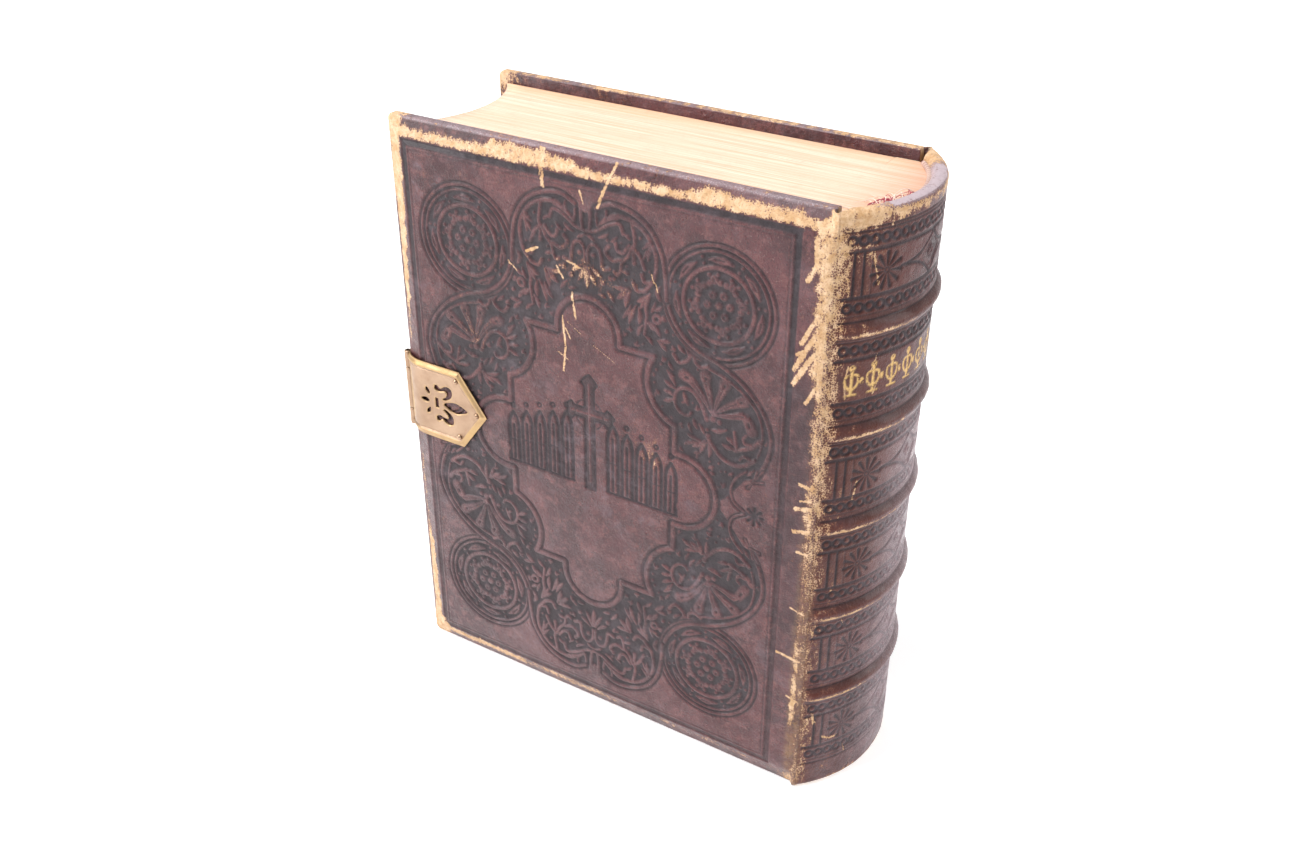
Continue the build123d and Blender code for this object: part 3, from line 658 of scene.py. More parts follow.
def lattice_skin(name, x, y, z, fields=None):
    """Closed outer surface of a box-shaped lattice of points, shaped (nx, ny, nz)."""
    surface = np.ones(x.shape, bool)
    surface[1:-1, 1:-1, 1:-1] = False
    index = np.full(x.shape, -1)
    index[surface] = np.arange(surface.sum())
    quads = []
    for axis in range(3):
        for end in (0, -1):
            side = np.take(index, end, axis)
            corners = [side[:-1, :-1], side[1:, :-1], side[1:, 1:], side[:-1, 1:]]
            quads.append(np.stack(corners, -1).reshape(-1, 4))
    points = np.stack([x[surface], y[surface], z[surface]], 1)
    picked = {key: np.broadcast_to(v, x.shape)[surface] for key, v in (fields or {}).items()}
    return make_mesh(name, points, quads, picked)


def tube(name, line, radii, sides=12, fields=None):
    """Closed round tube along a line of points in millimetres."""
    line = np.asarray(line, float)
    radii = np.broadcast_to(np.asarray(radii, float), (len(line),))
    along = np.gradient(line, axis=0)
    along /= np.linalg.norm(along, axis=1)[:, None]
    up = np.tile([0.0, 0.0, 1.0], (len(line), 1))
    up[np.abs(along[:, 2]) > 0.9] = (1.0, 0.0, 0.0)
    across = np.cross(along, up)
    across /= np.linalg.norm(across, axis=1)[:, None]
    up = np.cross(across, along)
    a = np.linspace(0, math.tau, sides, endpoint=False)
    ring = np.cos(a)[None, :, None] * across[:, None] + np.sin(a)[None, :, None] * up[:, None]
    points = (line[:, None] + ring * radii[:, None, None]).reshape(-1, 3)
    points = np.vstack([points, line[:1], line[-1:]])
    faces = [grid_faces(len(line), sides, closed=True)]
    turn = np.arange(sides)
    last = (len(line) - 1) * sides
    faces.append(np.stack([(turn + 1) % sides, turn, np.full(sides, len(points) - 2)], 1))
    faces.append(np.stack([last + turn, last + (turn + 1) % sides, np.full(sides, len(points) - 1)], 1))
    return make_mesh(name, points, faces, fields)


# ---- wear --------------------------------------------------------------------------------
def band(value, low, high, soft):
    """1 between low and high, with soft ends."""
    return smoothstep(low - soft, low + soft, value) * (1 - smoothstep(high - soft, high + soft, value))


def spot(x, z, centre_x, centre_z, reach_x, reach_z):
    """Soft oval spot, 1 at its centre."""
    return np.exp(-(((x - centre_x) / reach_x) ** 2 + ((z - centre_z) / reach_z) ** 2))


def rubbed_line(x, z, points, half_width):
    """Strength of a scratch or gouge along a few points."""
    best = np.zeros(np.broadcast(x, z).shape)
    for start, end in zip(points, points[1:]):
        gap, _ = segment_gap(x, z, start, end)
        best = np.maximum(best, 1 - smoothstep(0.4 * half_width, 1.6 * half_width, gap))
    return best


REAR_SCRATCHES = [
    ([(93, 330), (96, 320), (98, 307)], 1.3),
    ([(97, 326), (95.5, 312)], 0.7),
    ([(137, 324), (134, 316), (129, 303)], 1.1),
    ([(119, 309), (121, 303)], 0.6),
    ([(113, 256), (115, 243)], 0.8),
    ([(107, 242), (108.5, 226), (107, 212)], 0.8),
    ([(109, 236), (111.5, 231)], 0.5),
    ([(104, 222), (110, 219)], 0.4),
    ([(75, 264), (80, 260)], 0.8),
    ([(87, 272), (93, 275)], 0.9),
    ([(111, 272), (118, 270)], 0.6),
    ([(104, 268), (108, 262)], 0.5),
    ([(158, 276), (162, 268)], 0.5),
    ([(233, 241), (239, 252), (246, 263)], 1.8),
    ([(233, 248), (240, 262), (247, 274)], 1.7),
    ([(236, 262), (242, 274), (247, 284)], 1.5),
    ([(234, 256), (238, 259)], 1.0),
    ([(240, 233), (247, 247)], 1.2),
    ([(237, 292), (241, 300), (240, 312)], 1.6),
    ([(240, 190), (247, 189)], 1.2),
    ([(241, 181), (247, 182.5)], 0.7),
    ([(239, 176), (247, 178)], 1.5),
    ([(238.5, 163), (247, 165)], 1.4),
    ([(241, 152), (247, 152)], 0.8),
    ([(240, 118), (247, 116)], 0.8),
    ([(234, 88), (247, 86)], 1.1),
    ([(241, 62), (247, 60)], 0.8),
    ([(110, 240), (119, 234.5)], 0.2),
    ([(125, 231), (139, 224)], 0.16),
]


def fringe(along, across, seed):
    """Hatched unevenness of the limit of a rubbed place, in millimetres."""
    return 0.75 * ripple(along, 0.12 * across, 1.9, seed) + 0.7 * ripple(along, 0.2 * across, 7, seed + 1)


def cover_wear(x, z, rear):
    """How strongly the leather is rubbed through, over the face and bevels of a cover."""
    wide = 1 if rear else 0.8
    upper = np.interp(x, [0, 11, 60, 66, 84, 112, 118, 174, 184, 192, 200, 232],
                      [321, 320.0, 319.6, 323, 323, 321.5, 318.9, 319.0, 322.6, 322.4, 321.2, 321.6])
    top = smoothstep(-1.6, 1.6, z - 315.3 + 0.6 * fringe(x, z, 61))
    top = top * (1 - smoothstep(-2.2, 2.4, z - upper + 0.7 * fringe(x, z, 63))) * band(x, 3, 244, 2)
    lump = 1 - smoothstep(0.7, 1.3, np.hypot((x - 238) / 6.0, (z - 323.5) / 4.2) + 0.15 * ripple(x, z, 4, 65))
    top = 0.9 * top * (1 - lump)
    along = np.interp(z, [6, 14, 70, 90, 140, 190, 206, 232], [0.6, 0.92, 0.9, 0.5, 0.4, 0.3, 0.6, 0.97])
    width = np.interp(z, [6, 60, 90, 195, 215, 250, 290], [9.5, 7.5, 4.5, 3.2, 4.6, 7.2, 9.6])
    reach = fringe(z, x, 67)
    left = smoothstep(0.8, 3.0, x + 0.4 * reach) * along
    left = left * (1 - smoothstep(width - 1.9, width + 1.9, x + 0.8 * reach))
    left = np.maximum(left, 0.95 * smoothstep(270, 292, z) * (1 - smoothstep(4.5, 6.0, x)))
    rise = z + fringe(x, z, 69)
    foot = 0.82 * band(x, 3, 70, 8) + 0.56 * band(x, 70, 128, 8) + 0.3 * band(x, 128, 246, 4)
    foot = foot * band(rise, 4.0, 9.3, 1.4)
    corner = 1 - smoothstep(6, 12, np.hypot(x - 5, z - 8) + fringe(x - z, x + z, 71))
    lower_right = (1 - smoothstep(3, 12, np.hypot(x - 247, z - 2))) * 0.7
    joint_low = np.interp(z, [60, 84, 232, 246, 296, 306], [244.6, 243.6, 243.6, 241.5, 241.5, 240.2])
    joint_low = joint_low + 1.4 * ripple(x * 0, z, 14, 6) + 0.8 * fringe(z, x, 73)
    strength = 0.26 + 0.28 * smoothstep(88, 150, z) + 0.12 * smoothstep(150, 200, z)
    strength = strength + 0.22 * smoothstep(226, 250, z)
    joint = smoothstep(joint_low - 2.8, joint_low + 3.0, x) * strength
    seam = band(x + 0.8 * fringe(z, x, 85), 243.3, 246.0, 0.7) * (0.85 + 0.3 * ripple(x * 0, z, 9, 86))
    seam = seam * (0.8 * band(z, 40, 84, 5) + 0.5 * band(z, 84, 130, 6))
    joint = np.maximum(joint, seam) * (1 - lump)
    edge = 0.24 * (1 - smoothstep(0.5, 2.2, np.minimum(x, np.minimum(z, HEIGHT - z))))
    wear = np.maximum.reduce([top, left, foot, corner, lower_right, joint, edge]) * wide
    if rear:
        for points, half_width in REAR_SCRATCHES:
            wear = np.maximum(wear, 0.9 * rubbed_line(x, z, points, 0.8 * half_width))
        above_panel = spot(x, z, 124, 268, 34, 13)
        on_arches = spot(x, z, 158, 178, 12, 16)
        on_shell = spot(x, z, 50, 220, 16, 13)
        wear = wear + 0.46 * above_panel + 0.36 * on_arches + 0.34 * on_shell
    return wear + 0.10 * ripple(x, z, 26, 3 if rear else 4)


def joint_start(z):
    """Where the rubbing of the joint begins on a cover."""
    return 240.6 + 0.9 * ripple(z, z * 0, 14, 87)


def cover_sheen_and_dust(x, z):
    """Painted sheen over a cover's face, with the grey bloom of the polish and the dust in the tooling: a
    patch near the head by the fore-edge, a diagonal sweep and a faint veil everywhere.
    """
    patch = 1.2 * spot(x, z, 23, 294, 9, 17)
    sweep = 0.55 * np.exp(-(((x - 152) + (z - 131) * 0.9) / 24) ** 2) * band(z, 90, 215, 30)
    return np.clip(patch + sweep + 0.25 + 0.22 * ripple(x, z, 60, 8), 0, 1)


# ---- covers ------------------------------------------------------------------------------
ORNAMENT_X = 121.8
ORNAMENT_Z = 163.5
FACE_STEP = 0.5
EDGE_START = 0.8  # the face grid stops this far inside the fore-edge, head and tail
FRAME_X = (12.6, 231.5)  # sunk frame line, from the fore-edge
FRAME_Z = (12.0, 313.0)  # and from the tail
FINE_LINE_INSET = 3.3
LINING_FACE = 9.2  # depth of the leather's flat closing face, under the lining paper
LINING_LAP = 6.0  # distance of that face's border from the turned-in margins


def rounded_corner(x, z, radius=3.2):
    """Round the two free corners of a cover."""
    low = np.minimum(z, HEIGHT - z)
    a = radius - x
    b = radius - low
    inside = (a > 0) & (b > 0)
    reach = np.maximum(a, b)
    scale = np.where(inside, reach / np.maximum(np.hypot(a, b), 1e-6), 1)
    new_x = np.where(inside, radius - a * scale, x)
    new_low = np.where(inside, radius - b * scale, low)
    return new_x, np.where(z < HEIGHT / 2, new_low, HEIGHT - new_low)


def past_ends(value, low, high):
    """Distance beyond the ends of a range, negative inside it."""
    return np.abs(value - (low + high) / 2) - (high - low) / 2


def cover_relief(x, z):
    """(height, ink) pressed into a cover's face."""
    u = np.abs(x - ORNAMENT_X)
    v = np.abs(z - ORNAMENT_Z)
    above = z - PANEL_LOW
    height, ink = (
        COVER_TOOLING.sample(field, u, v)
        + np.where(above > 0, MIDDLE_TOOLING.sample(field, u, np.abs(above)), 0)
        for field in ("height", "ink")
    )
    away = np.maximum(past_ends(x, *FRAME_X), past_ends(z, *FRAME_Z))
    groove = 1 - smoothstep(1.0, 2.1, np.abs(away))
    line = 1 - smoothstep(0.2, 0.7, np.abs(away + FINE_LINE_INSET))
    height = height - 0.8 * groove - 0.2 * line
    ink = np.maximum(ink, np.maximum(groove * (0.6 + 0.4 * smoothstep(150, 290, z)), 0.4 * line))
    return height, np.clip(ink, 0, 1)


def bevel_depth(edge):
    """Depth of the bevelled face at a distance from the board's edge."""
    flat = BEVEL_WIDTH - edge
    return BEVEL_DEPTH / BEVEL_WIDTH * 0.5 * (flat + np.sqrt(flat**2 + 2.0))


def wrap_board(x, z, face, x_end):
    """Points and faces that take the face grid round the edges to the turned-in margins."""
    rows, columns = x.shape
    index = np.arange(rows * columns).reshape(rows, columns)
    border = np.concatenate([index[0, :], index[1:, -1], index[-1, -2::-1], index[-2:0:-1, 0]])
    share_x = (x.ravel()[border] - x.min()) / (x.max() - x.min())
    share_z = (z.ravel()[border] - z.min()) / (z.max() - z.min())
    start_depth = face[border, 1]
    board_end = x_end + 1.2
    # each ring: inset at the free edges, end at the joint, depth below the bevel's foot, and the
    # share of the way from the face's own border to that depth
    rings = [
        (0.25, x_end + 0.5, 0.55, 0.168), (0.0, x_end + 1.0, 1.3, 0.42), (0.0, board_end, 3.4, 1),
        (0.25, board_end, 4.4, 1), (0.8, board_end, 4.8, 1), (8.0, board_end, 4.82, 1),
        (TURN_IN_WIDTH - 1.2, board_end, 4.8, 1), (TURN_IN_WIDTH - 0.5, board_end, 4.6, 1),
        (TURN_IN_WIDTH, board_end, 4.25, 1),
    ]
    points = []
    faces = []
    previous = border
    count = rows * columns
    for inset, end, drop, share in rings:
        ring_x = inset + share_x * (end - inset)
        ring_z = inset + share_z * (HEIGHT - 2 * inset)
        wobble = 0.5 * ripple(ring_x, ring_z, 22, 15) * smoothstep(9, TURN_IN_WIDTH, inset)
        ring_x = np.where(share_x < 0.001, ring_x + wobble, ring_x)
        ring_z = np.where(share_z < 0.001, ring_z + wobble, ring_z)
        ring_z = np.where(share_z > 0.999, ring_z - wobble, ring_z)
        ring_depth = start_depth + (BEVEL_DEPTH + drop - start_depth) * share
        ring_x, ring_z = rounded_corner(ring_x, ring_z)
        points.append(np.stack([ring_x, ring_depth, ring_z], 1))
        current = count + np.arange(len(border))
        faces.append(np.stack([previous, current, np.roll(current, -1), np.roll(previous, -1)], 1))
        previous = current
        count += len(border)
    low = TURN_IN_WIDTH + LINING_LAP
    high_x = x_end - LINING_LAP
    closing = [(low, low), (high_x, low), (high_x, HEIGHT - low), (low, HEIGHT - low)]
    points.append(np.array([(corner_x, LINING_FACE, corner_z) for corner_x, corner_z in closing]))
    corners = count + np.arange(4)
    everything = np.vstack([face, *points])
    sides = np.cumsum([0, columns - 1, rows - 1, columns - 1, rows - 1])
    looped = np.concatenate([previous, previous[:1]])
    for i in range(4):
        row = looped[sides[i]:sides[i + 1] + 1]
        faces.append(zip_lines(everything, row, corners[[i, (i + 1) % 4]]))
    faces.append(corners[None, :])
    return everything, faces


def cover_fields(x, z, wear, ink, wrapped, rear):
    """The painted fields over the face grid, followed by those of the wrapped points."""
    along_x, depth, along_z = wrapped.T
    rim = (0.12 if rear else 0.62) * (1 - smoothstep(9.2, 9.75, depth))
    corner_rub = 0.75 * (1 - smoothstep(6, 22, np.hypot(along_x, np.minimum(along_z, HEIGHT - along_z))))
    rim_wear = np.maximum(rim, corner_rub) + 0.25 * ripple(along_x, along_z, 30, 16)
    rim_wear = rim_wear + 0.2 * ripple(along_x, along_z, 6, 17)
    ochre = smoothstep(joint_start(z), 244.5, x) * (1 - 0.75 * smoothstep(130, 190, z))
    # painted highlights: a lilac-pale arris along the head, a paler strip by the head towards the joint, a
    # sheen on the motifs round the tail corner at the fore-edge, and pale edges and margins, brightest along
    # the head
    head_highlight = 0.9 * (1 - smoothstep(0.8, 1.9, HEIGHT - z))
    face_highlight = 0.30 * smoothstep(150, 225, x) * (1 - smoothstep(3, 9, HEIGHT - z))
    face_highlight = face_highlight + 0.16 * (1 - ink) * (1 - smoothstep(50, 190, np.hypot(x - 30, z - 30)))
    rim_highlight = (1 - smoothstep(9.3, 9.7, depth)) * (0.3 + 0.5 * (along_z > HEIGHT - 2))
    fields = {
        "wear": (wear, rim_wear),
        "ink": (ink, 0),
        "sheen_and_dust": (cover_sheen_and_dust(x, z), 0.3),
        "ochre": (ochre, 0),
        "pale": (np.maximum(head_highlight, face_highlight), rim_highlight),
    }
    return {
        key: np.concatenate([on_face.ravel(), np.broadcast_to(beyond, len(wrapped))])
        for key, (on_face, beyond) in fields.items()
    }


def make_cover_skin(side, word):
    """Leather over one board: tooled face, bevels, edges and turned-in margins."""
    rear = side < 0
    x_end = X_JOINT - X_FORE - JOINT_STRIP
    xs = np.linspace(EDGE_START, x_end, int(x_end / FACE_STEP))
    zs = np.linspace(EDGE_START, HEIGHT - EDGE_START, int(HEIGHT / FACE_STEP))
    x, z = np.meshgrid(xs, zs)
    edge = np.minimum(x, np.minimum(z, HEIGHT - z))
    depth = bevel_depth(edge) - 0.04 * smoothstep(0, 20, edge)
    height, ink = cover_relief(x, z)
    soft = 0.05 * ripple(x, z, 9, 11) + 0.07 * ripple(x, z, 38, 12)
    wear = cover_wear(x, z, rear) - 0.22 * ink
    # painted shade: a darker strip along the joint, laid into the ink field
    joint_shade = smoothstep(232, 236, x) * smoothstep(60, 110, z) * (1 - smoothstep(225, 280, z))
    ink = np.maximum(ink, 0.4 * joint_shade)
    rough = 0.12 * np.clip(wear, 0, 1) * ripple(x, z, 3.0, 13)
    fade = smoothstep(0, 3, x_end - x)
    depth = depth - np.maximum(height + soft + rough, -0.86) * fade
    rounded_x, rounded_z = rounded_corner(x, z)
    face = np.stack([rounded_x, depth, rounded_z], -1).reshape(-1, 3)
    everything, wrapping = wrap_board(x, z, face, x_end)
    fields = cover_fields(x, z, wear, ink, everything[x.size:], rear)
    world = np.stack([X_FORE + everything[:, 0], side * (HALF - everything[:, 1]), everything[:, 2]], 1)
    skin = make_mesh(f"{word}_cover_skin", world, [grid_faces(*x.shape), *wrapping], fields)
    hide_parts(f"{word}_cover_leather")
    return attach(skin, f"{word}_cover")


# ---- spine -------------------------------------------------------------------------------
def joint_point(side, distance):
    """Point in plan on the fillet at a joint: distance < 0 on the cover, > 0 round the back."""
    sweep = math.pi / 2 - SPINE_HALF_ANGLE
    radius = JOINT_STRIP / math.tan(sweep / 2)
    centre_x = X_JOINT - JOINT_STRIP
    centre_y = HALF - radius
    a = (distance / JOINT_STRIP + 1) / 2 * sweep
    return centre_x + radius * math.sin(a), side * (centre_y + radius * math.cos(a))


SPINE_SCRATCHES = [
    ([(20, 304), (22, 296), (23.5, 290)], 0.6),
    ([(6.5, 300), (8.5, 292), (9, 286)], 0.6),
    ([(12, 252), (10.5, 244), (11.5, 236)], 0.5),
    ([(27, 256), (24, 248)], 0.35),
    ([(30, 245), (26, 236)], 0.4),
    ([(22, 190), (20.5, 180)], 0.6),
    ([(21, 109), (23, 105)], 0.3),
    ([(9, 50), (10.5, 44)], 1.1),
    ([(16, 33), (20, 31), (25, 31)], 0.8),
    ([(30, 22), (31, 17)], 0.4),
]


def spine_wear(s, z):
    """Rubbing on the spine: s runs from the nearer joint round to the middle of the back."""
    limit = 314.5 + 4.6 * smoothstep(8, 34, s) + 1.6 * fringe(s, z, 75) + 1.2 * ripple(s, z, 9, 77)
    near_head = smoothstep(limit - 2.6, limit + 2.4, z) * (0.93 - 0.35 * smoothstep(30, 55, s))
    near_head = near_head * (1 - 0.75 * smoothstep(322, 324, z) * smoothstep(22, 34, s))
    tail = (0.2 + 0.4 * smoothstep(10, 30, s)) * (1 - smoothstep(1.5, 6.5, z + fringe(s, z, 78)))
    reach = 1.0 + 0.9 * smoothstep(235, 290, z) + 3.0 * smoothstep(294, 310, z)
    reach = reach + 0.9 * ripple(s * 0, z, 12, 28) + 0.7 * fringe(z, s, 79)
    strength = 0.22 + 0.2 * smoothstep(95, 150, z) + 0.12 * smoothstep(150, 200, z)
    strength = strength + 0.26 * smoothstep(240, 290, z)
    joint = (1 - smoothstep(0.3, 2.1, s / np.maximum(reach, 0.6))) * strength
    crest = np.zeros(z.shape)
    for i, height in enumerate(BAND_HEIGHTS):
        off = z - height + 1.3 + 0.4 * fringe(s, z, 81 + 2 * i)
        crest = np.maximum(crest, 0.72 * bump(off, 0, 2.3) * (1 - 0.75 * smoothstep(24, 60, s)))
    crest = crest * smoothstep(3, 9, s)
    crackle = 0.36 * (1 - smoothstep(4, 12, s)) * (0.5 + 0.5 * smoothstep(90, 200, z))
    crackle = crackle + 0.20 * (1 - smoothstep(14, 34, s))
    crackle = crackle + 0.20 * smoothstep(282, 312, z) * (1 - smoothstep(18, 52, s))
    for points, half_width in SPINE_SCRATCHES:
        crackle = np.maximum(crackle, 0.75 * rubbed_line(s, z, points, half_width))
    return np.maximum.reduce([near_head, tail, joint, crest, crackle]) + 0.12 * ripple(s, z, 18, 21)


BAND_HALF = 5.4  # half the height of a raised band
BAND_RISE = 2.7  # and how far it stands out
SPINE_THICKNESS = 1.6  # from the back's own arc to its inner face
END_ROUNDING = 3.6  # at the head and the tail of the back


def past_board(z, rounding):
    """How far z runs into the rounding at the head or the tail, from 0 to rounding."""
    return np.clip(np.maximum(z - HEIGHT, -z) + rounding, 0, rounding)


def rounded_drop(turned, rounding):
    """How far a rounded edge has fallen back."""
    return rounding - np.sqrt(rounding**2 - turned**2)


def spine_relief(near, z):
    """(height, ink, gilt) pressed into the back's panels."""
    fields = [np.zeros(z.shape) for _ in range(3)]
    for i, top in enumerate(PANEL_TOPS):
        tooling = TITLE_PANEL if i == 1 else PLAIN_PANEL
        v = top - z
        here = (v > 0) & (v <= PANEL_PITCH)
        for k, field in enumerate(("height", "ink", "gilt")):
            fields[k] = np.where(here, tooling.sample(field, near, np.abs(v)), fields[k])
    return fields


def spine_fields(s, near, z, wear, ink, gilt, extra):
    """The painted fields over the back's face, with extra points on the caps and the inner face."""
    def widen(field, value):
        return np.concatenate([field, np.broadcast_to(value, (len(field), extra))], 1).ravel()

    # darker, redder brown: painted shade towards the rear joint, and a red-brown stripe over each band
    warm_and_shade = (1 - smoothstep(14, 66, s)) * (0.4 + 0.55 * smoothstep(70, 150, z))
    under = np.zeros(s.shape)
    for middle in BAND_HEIGHTS:
        warm_and_shade = np.maximum(warm_and_shade, band(z - middle, 0.4, 6.0, 0.9) * (1 - 0.4 * smoothstep(50, 90, s)))
        under = np.maximum(under, band(z - middle, -5.6, -3.0, 0.8))
        ink = np.maximum(ink, 0.4 * band(z - middle, 2.2, 6.2, 1.2))
    # painted sheen and highlights: a sheen over the lower panels away from the joints and under each band, a
    # highlight along the head, a painted reflection over the lower middle and far side of the back, and full
    # highlight on the caps and inner face
    sheen = 0.30 * smoothstep(5, 16, near) * (1 - smoothstep(190, 255, z)) + 0.25 * under
    pale = smoothstep(HEIGHT - 3.0, HEIGHT - 0.9, z) * smoothstep(18, 30, near) + sheen * (1 - warm_and_shade)
    pale = pale + 0.46 * smoothstep(30, 62, s) * (1 - smoothstep(150, 270, z)) + 0.24 * smoothstep(60, 95, s)
    return {
        "warm_and_shade": widen(warm_and_shade, 0.2),
        "ochre": widen((1 - smoothstep(1.5, 6.0, near)) * (1 - 0.75 * smoothstep(130, 190, z)), 0),
        "wear": widen(wear, 0.9 - 0.75 * smoothstep(18, 32, near[:, :1])),
        "ink": widen(ink, 0),
        "gilt": widen(gilt, 0),
        # painted sheen with dust: a faint lilac-grey veil over the back
        "sheen_and_dust": widen(np.clip(0.15 + 0.2 * ripple(s, z, 50, 25), 0, 1), 0.2),
        "pale": widen(np.clip(pale, 0, 1), 1.0),
    }


def make_spine_skin():
    """Leather back: rolls, ornaments and five raised bands, closed round to its inner face."""
    start = JOINT_STRIP
    arcs = np.linspace(start, SPINE_ARC - start, 260)
    zs = np.linspace(0.9, HEIGHT - 0.9, 640)
    s, z = np.meshgrid(arcs, zs, indexing="ij")
    near = np.minimum(s, SPINE_ARC - s)
    height, tooled, gilt = spine_relief(near, z)
    # painted shade: the back darkens towards each joint, except near the tail, laid into the ink field
    joint_shade = 0.3 * (1 - smoothstep(6, 24, near + 3 * ripple(s, z, 20, 29))) * smoothstep(60, 170, z)
    proud = np.zeros(s.shape)
    for middle in BAND_HEIGHTS:
        t = np.clip(np.abs(z - middle) / BAND_HALF, 0, 1)
        proud = np.maximum(proud, BAND_RISE * np.cos(0.5 * np.pi * t) ** 1.7)
    proud = proud * smoothstep(start, start + 7, near)
    wear = spine_wear(near, z) - 0.3 * tooled
    soft = 0.06 * ripple(s, z, 8, 22) + 0.10 * ripple(s, z, 34, 23)
    soft = soft + 0.10 * np.clip(wear, 0, 1) * ripple(s, z, 3, 24)
    radius = SPINE_RADIUS + proud + (height + soft) * smoothstep(start, start + 3, near)
    radius = radius - rounded_drop(past_board(z, END_ROUNDING), END_ROUNDING)
    # the leather rolls over a cord at head and tail, and tapers away towards the joints:
    # (drop below the back's face, distance from the head or the tail) round the cord
    cap = [
        (2.1, 0.45), (3.2, 0.1), (4.6, 0.15), (6.0, 0.75), (7.0, 1.9), (7.6, 3.4), (7.8, 5.2),
        (7.0, 5.3), (6.3, 4.2), (5.3, 3.0), (3.6, 2.4), (2.3, 2.9), (1.7, 4.2),
    ]
    column = s[:, :1]
    ends = smoothstep(start, start + 8, near[:, :1])
    lift = 0.35 * ripple(column, column * 0, 13, 26) + 0.2 * ripple(column, column * 0, 4, 27)
    cap_r = [SPINE_RADIUS - 1.5 - (drop - 1.5) * ends + 0.3 * lift * (drop > 2) for drop, _ in cap]
    cap_z = [dip + 0.4 * np.abs(lift) for _, dip in cap]
    levels = [np.full(column.shape, level) for level in (HEIGHT - 6.0, 244, 163, 82, 6.0)]
    inner = [np.full(column.shape, SPINE_RADIUS - SPINE_THICKNESS)] * len(levels)
    loop_r = np.concatenate([radius, *cap_r, *inner, *cap_r[::-1]], 1)
    loop_z = np.concatenate([z, *(HEIGHT - dip for dip in cap_z), *levels, *cap_z[::-1]], 1)
    angle = SPINE_HALF_ANGLE - column / SPINE_RADIUS
    world = np.stack([SPINE_AXIS_X + loop_r * np.cos(angle), -loop_r * np.sin(angle), loop_z], -1)
    columns, around = loop_r.shape
    points = world.reshape(-1, 3)
    faces = [grid_faces(columns, around, closed=True)]
    for first in (0, (columns - 1) * around):
        outer_row = first + np.arange(len(zs))
        inner_row = first + np.arange(around - 1, len(zs) - 1, -1)
        faces.append(zip_lines(points, outer_row, inner_row))
    fields = spine_fields(s, near, z, wear, np.maximum(tooled, joint_shade), gilt, around - len(zs))
    skin = make_mesh("spine_skin", points, faces, fields)
    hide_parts("spine_leather")
    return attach(skin, "book_block")


def make_joint_strip(side, word):
    """The flexing strip of leather between a cover and the back, turned in at head and tail."""
    steps = np.linspace(JOINT_STRIP, -JOINT_STRIP, 21)
    zs = np.linspace(EDGE_START, HEIGHT - EDGE_START, 500)
    share = np.array([0.0, 0.2, 0.5, 0.8, 1.0])  # from the inner face to the outer
    outer = np.array([joint_point(side, d) for d in steps])
    sweep = math.pi / 2 - SPINE_HALF_ANGLE
    normal_angle = (steps / JOINT_STRIP + 1) / 2 * sweep
    normals = np.stack([np.sin(normal_angle), side * np.cos(normal_angle)], 1)
    d, inward, z = np.meshgrid(steps, 1 - share, zs, indexing="ij")
    turned_in = smoothstep(6.2, 3.6, np.minimum(z, HEIGHT - z))
    thickness = 0.9 + turned_in * (1.2 + 6.6 * smoothstep(1.6, -2.3, d))
    rounding = 0.8 + 2.8 * smoothstep(-JOINT_STRIP, JOINT_STRIP, d)
    surface = bevel_depth(np.minimum(z, HEIGHT - z)) * smoothstep(JOINT_STRIP, -JOINT_STRIP, d)
    surface = np.maximum(surface, rounded_drop(past_board(z, rounding), rounding))
    surface = surface + 0.12 * ripple(d, z, 3, 31) * bump(d, 0, JOINT_STRIP)
    level = -surface - (np.maximum(thickness, surface + 0.9) - surface) * inward
    x, y = (outer[:, k, None, None] + normals[:, k, None, None] * level for k in (0, 1))
    wear = np.where(d > 0, spine_wear(np.abs(d), z), cover_wear(X_JOINT - X_FORE + d, z, side < 0))
    wear = wear * (1 - 0.75 * smoothstep(0.1, 0.3, inward))
    ochre = (1 - 0.75 * smoothstep(130, 190, z)) * (inward < 0.1)
    dip = 0.4 + (1.1 + 1.2 * bump(d, 0.6, 2.4)) * inward + 0.8 * inward**3
    z = np.clip(z, dip, HEIGHT - dip)
    # a faint painted sheen with dust over the strip, and a painted highlight on its inner faces
    fields = {"wear": wear, "sheen_and_dust": 0.25, "ochre": ochre, "pale": 0.2 * (inward > 0.1)}
    strip = lattice_skin(f"{word}_joint_leather", x, y, z, fields)
    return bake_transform(strip)


def make_hinge_paper(side, word):
    """Paper that bridges the inner joint, from the lining of the board to the leaves."""
    start_x = X_TURN + 0.5
    end_x = X_JOINT - 1.2
    xs = np.linspace(start_x, end_x, 16)
    ys = side * np.array([HALF - BOARD_THICKNESS - 0.22, HALF - BOARD_THICKNESS - 0.04])
    zs = np.linspace(LEAF_TAIL, LEAF_HEAD, 30)
    x, y, z = np.meshgrid(xs, ys, zs, indexing="ij")
    paper = lattice_skin(f"{word}_hinge_paper", x, y, z)
    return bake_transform(paper)


# ---- leaves ------------------------------------------------------------------------------
LEAF_WIDTH = (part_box("gathering_04")[1].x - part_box("gathering_04")[0].x) / MM


def back_x(y):
    """X of the rounded back of the leaves."""
    return SPINE_AXIS_X + np.sqrt(LEAF_BACK_RADIUS**2 - np.asarray(y) ** 2)


PAGE_RNG = np.random.default_rng(1881)
PAGE_YS = np.linspace(-HALF, HALF, 600)
PAGE_OFFSETS = {}
for edge_name in ("head", "tail", "fore"):
    jitter = PAGE_RNG.normal(0, 1, len(PAGE_YS))
    waves = np.convolve(PAGE_RNG.normal(0, 1, len(PAGE_YS)), np.hanning(15), "same")
    PAGE_OFFSETS[edge_name] = 0.035 * jitter + 0.035 * waves


def page_offset(edge_name, y):
    """How far the page at y stands back from the trimmed edge."""
    return np.abs(np.interp(y, PAGE_YS, PAGE_OFFSETS[edge_name])) + 0.02


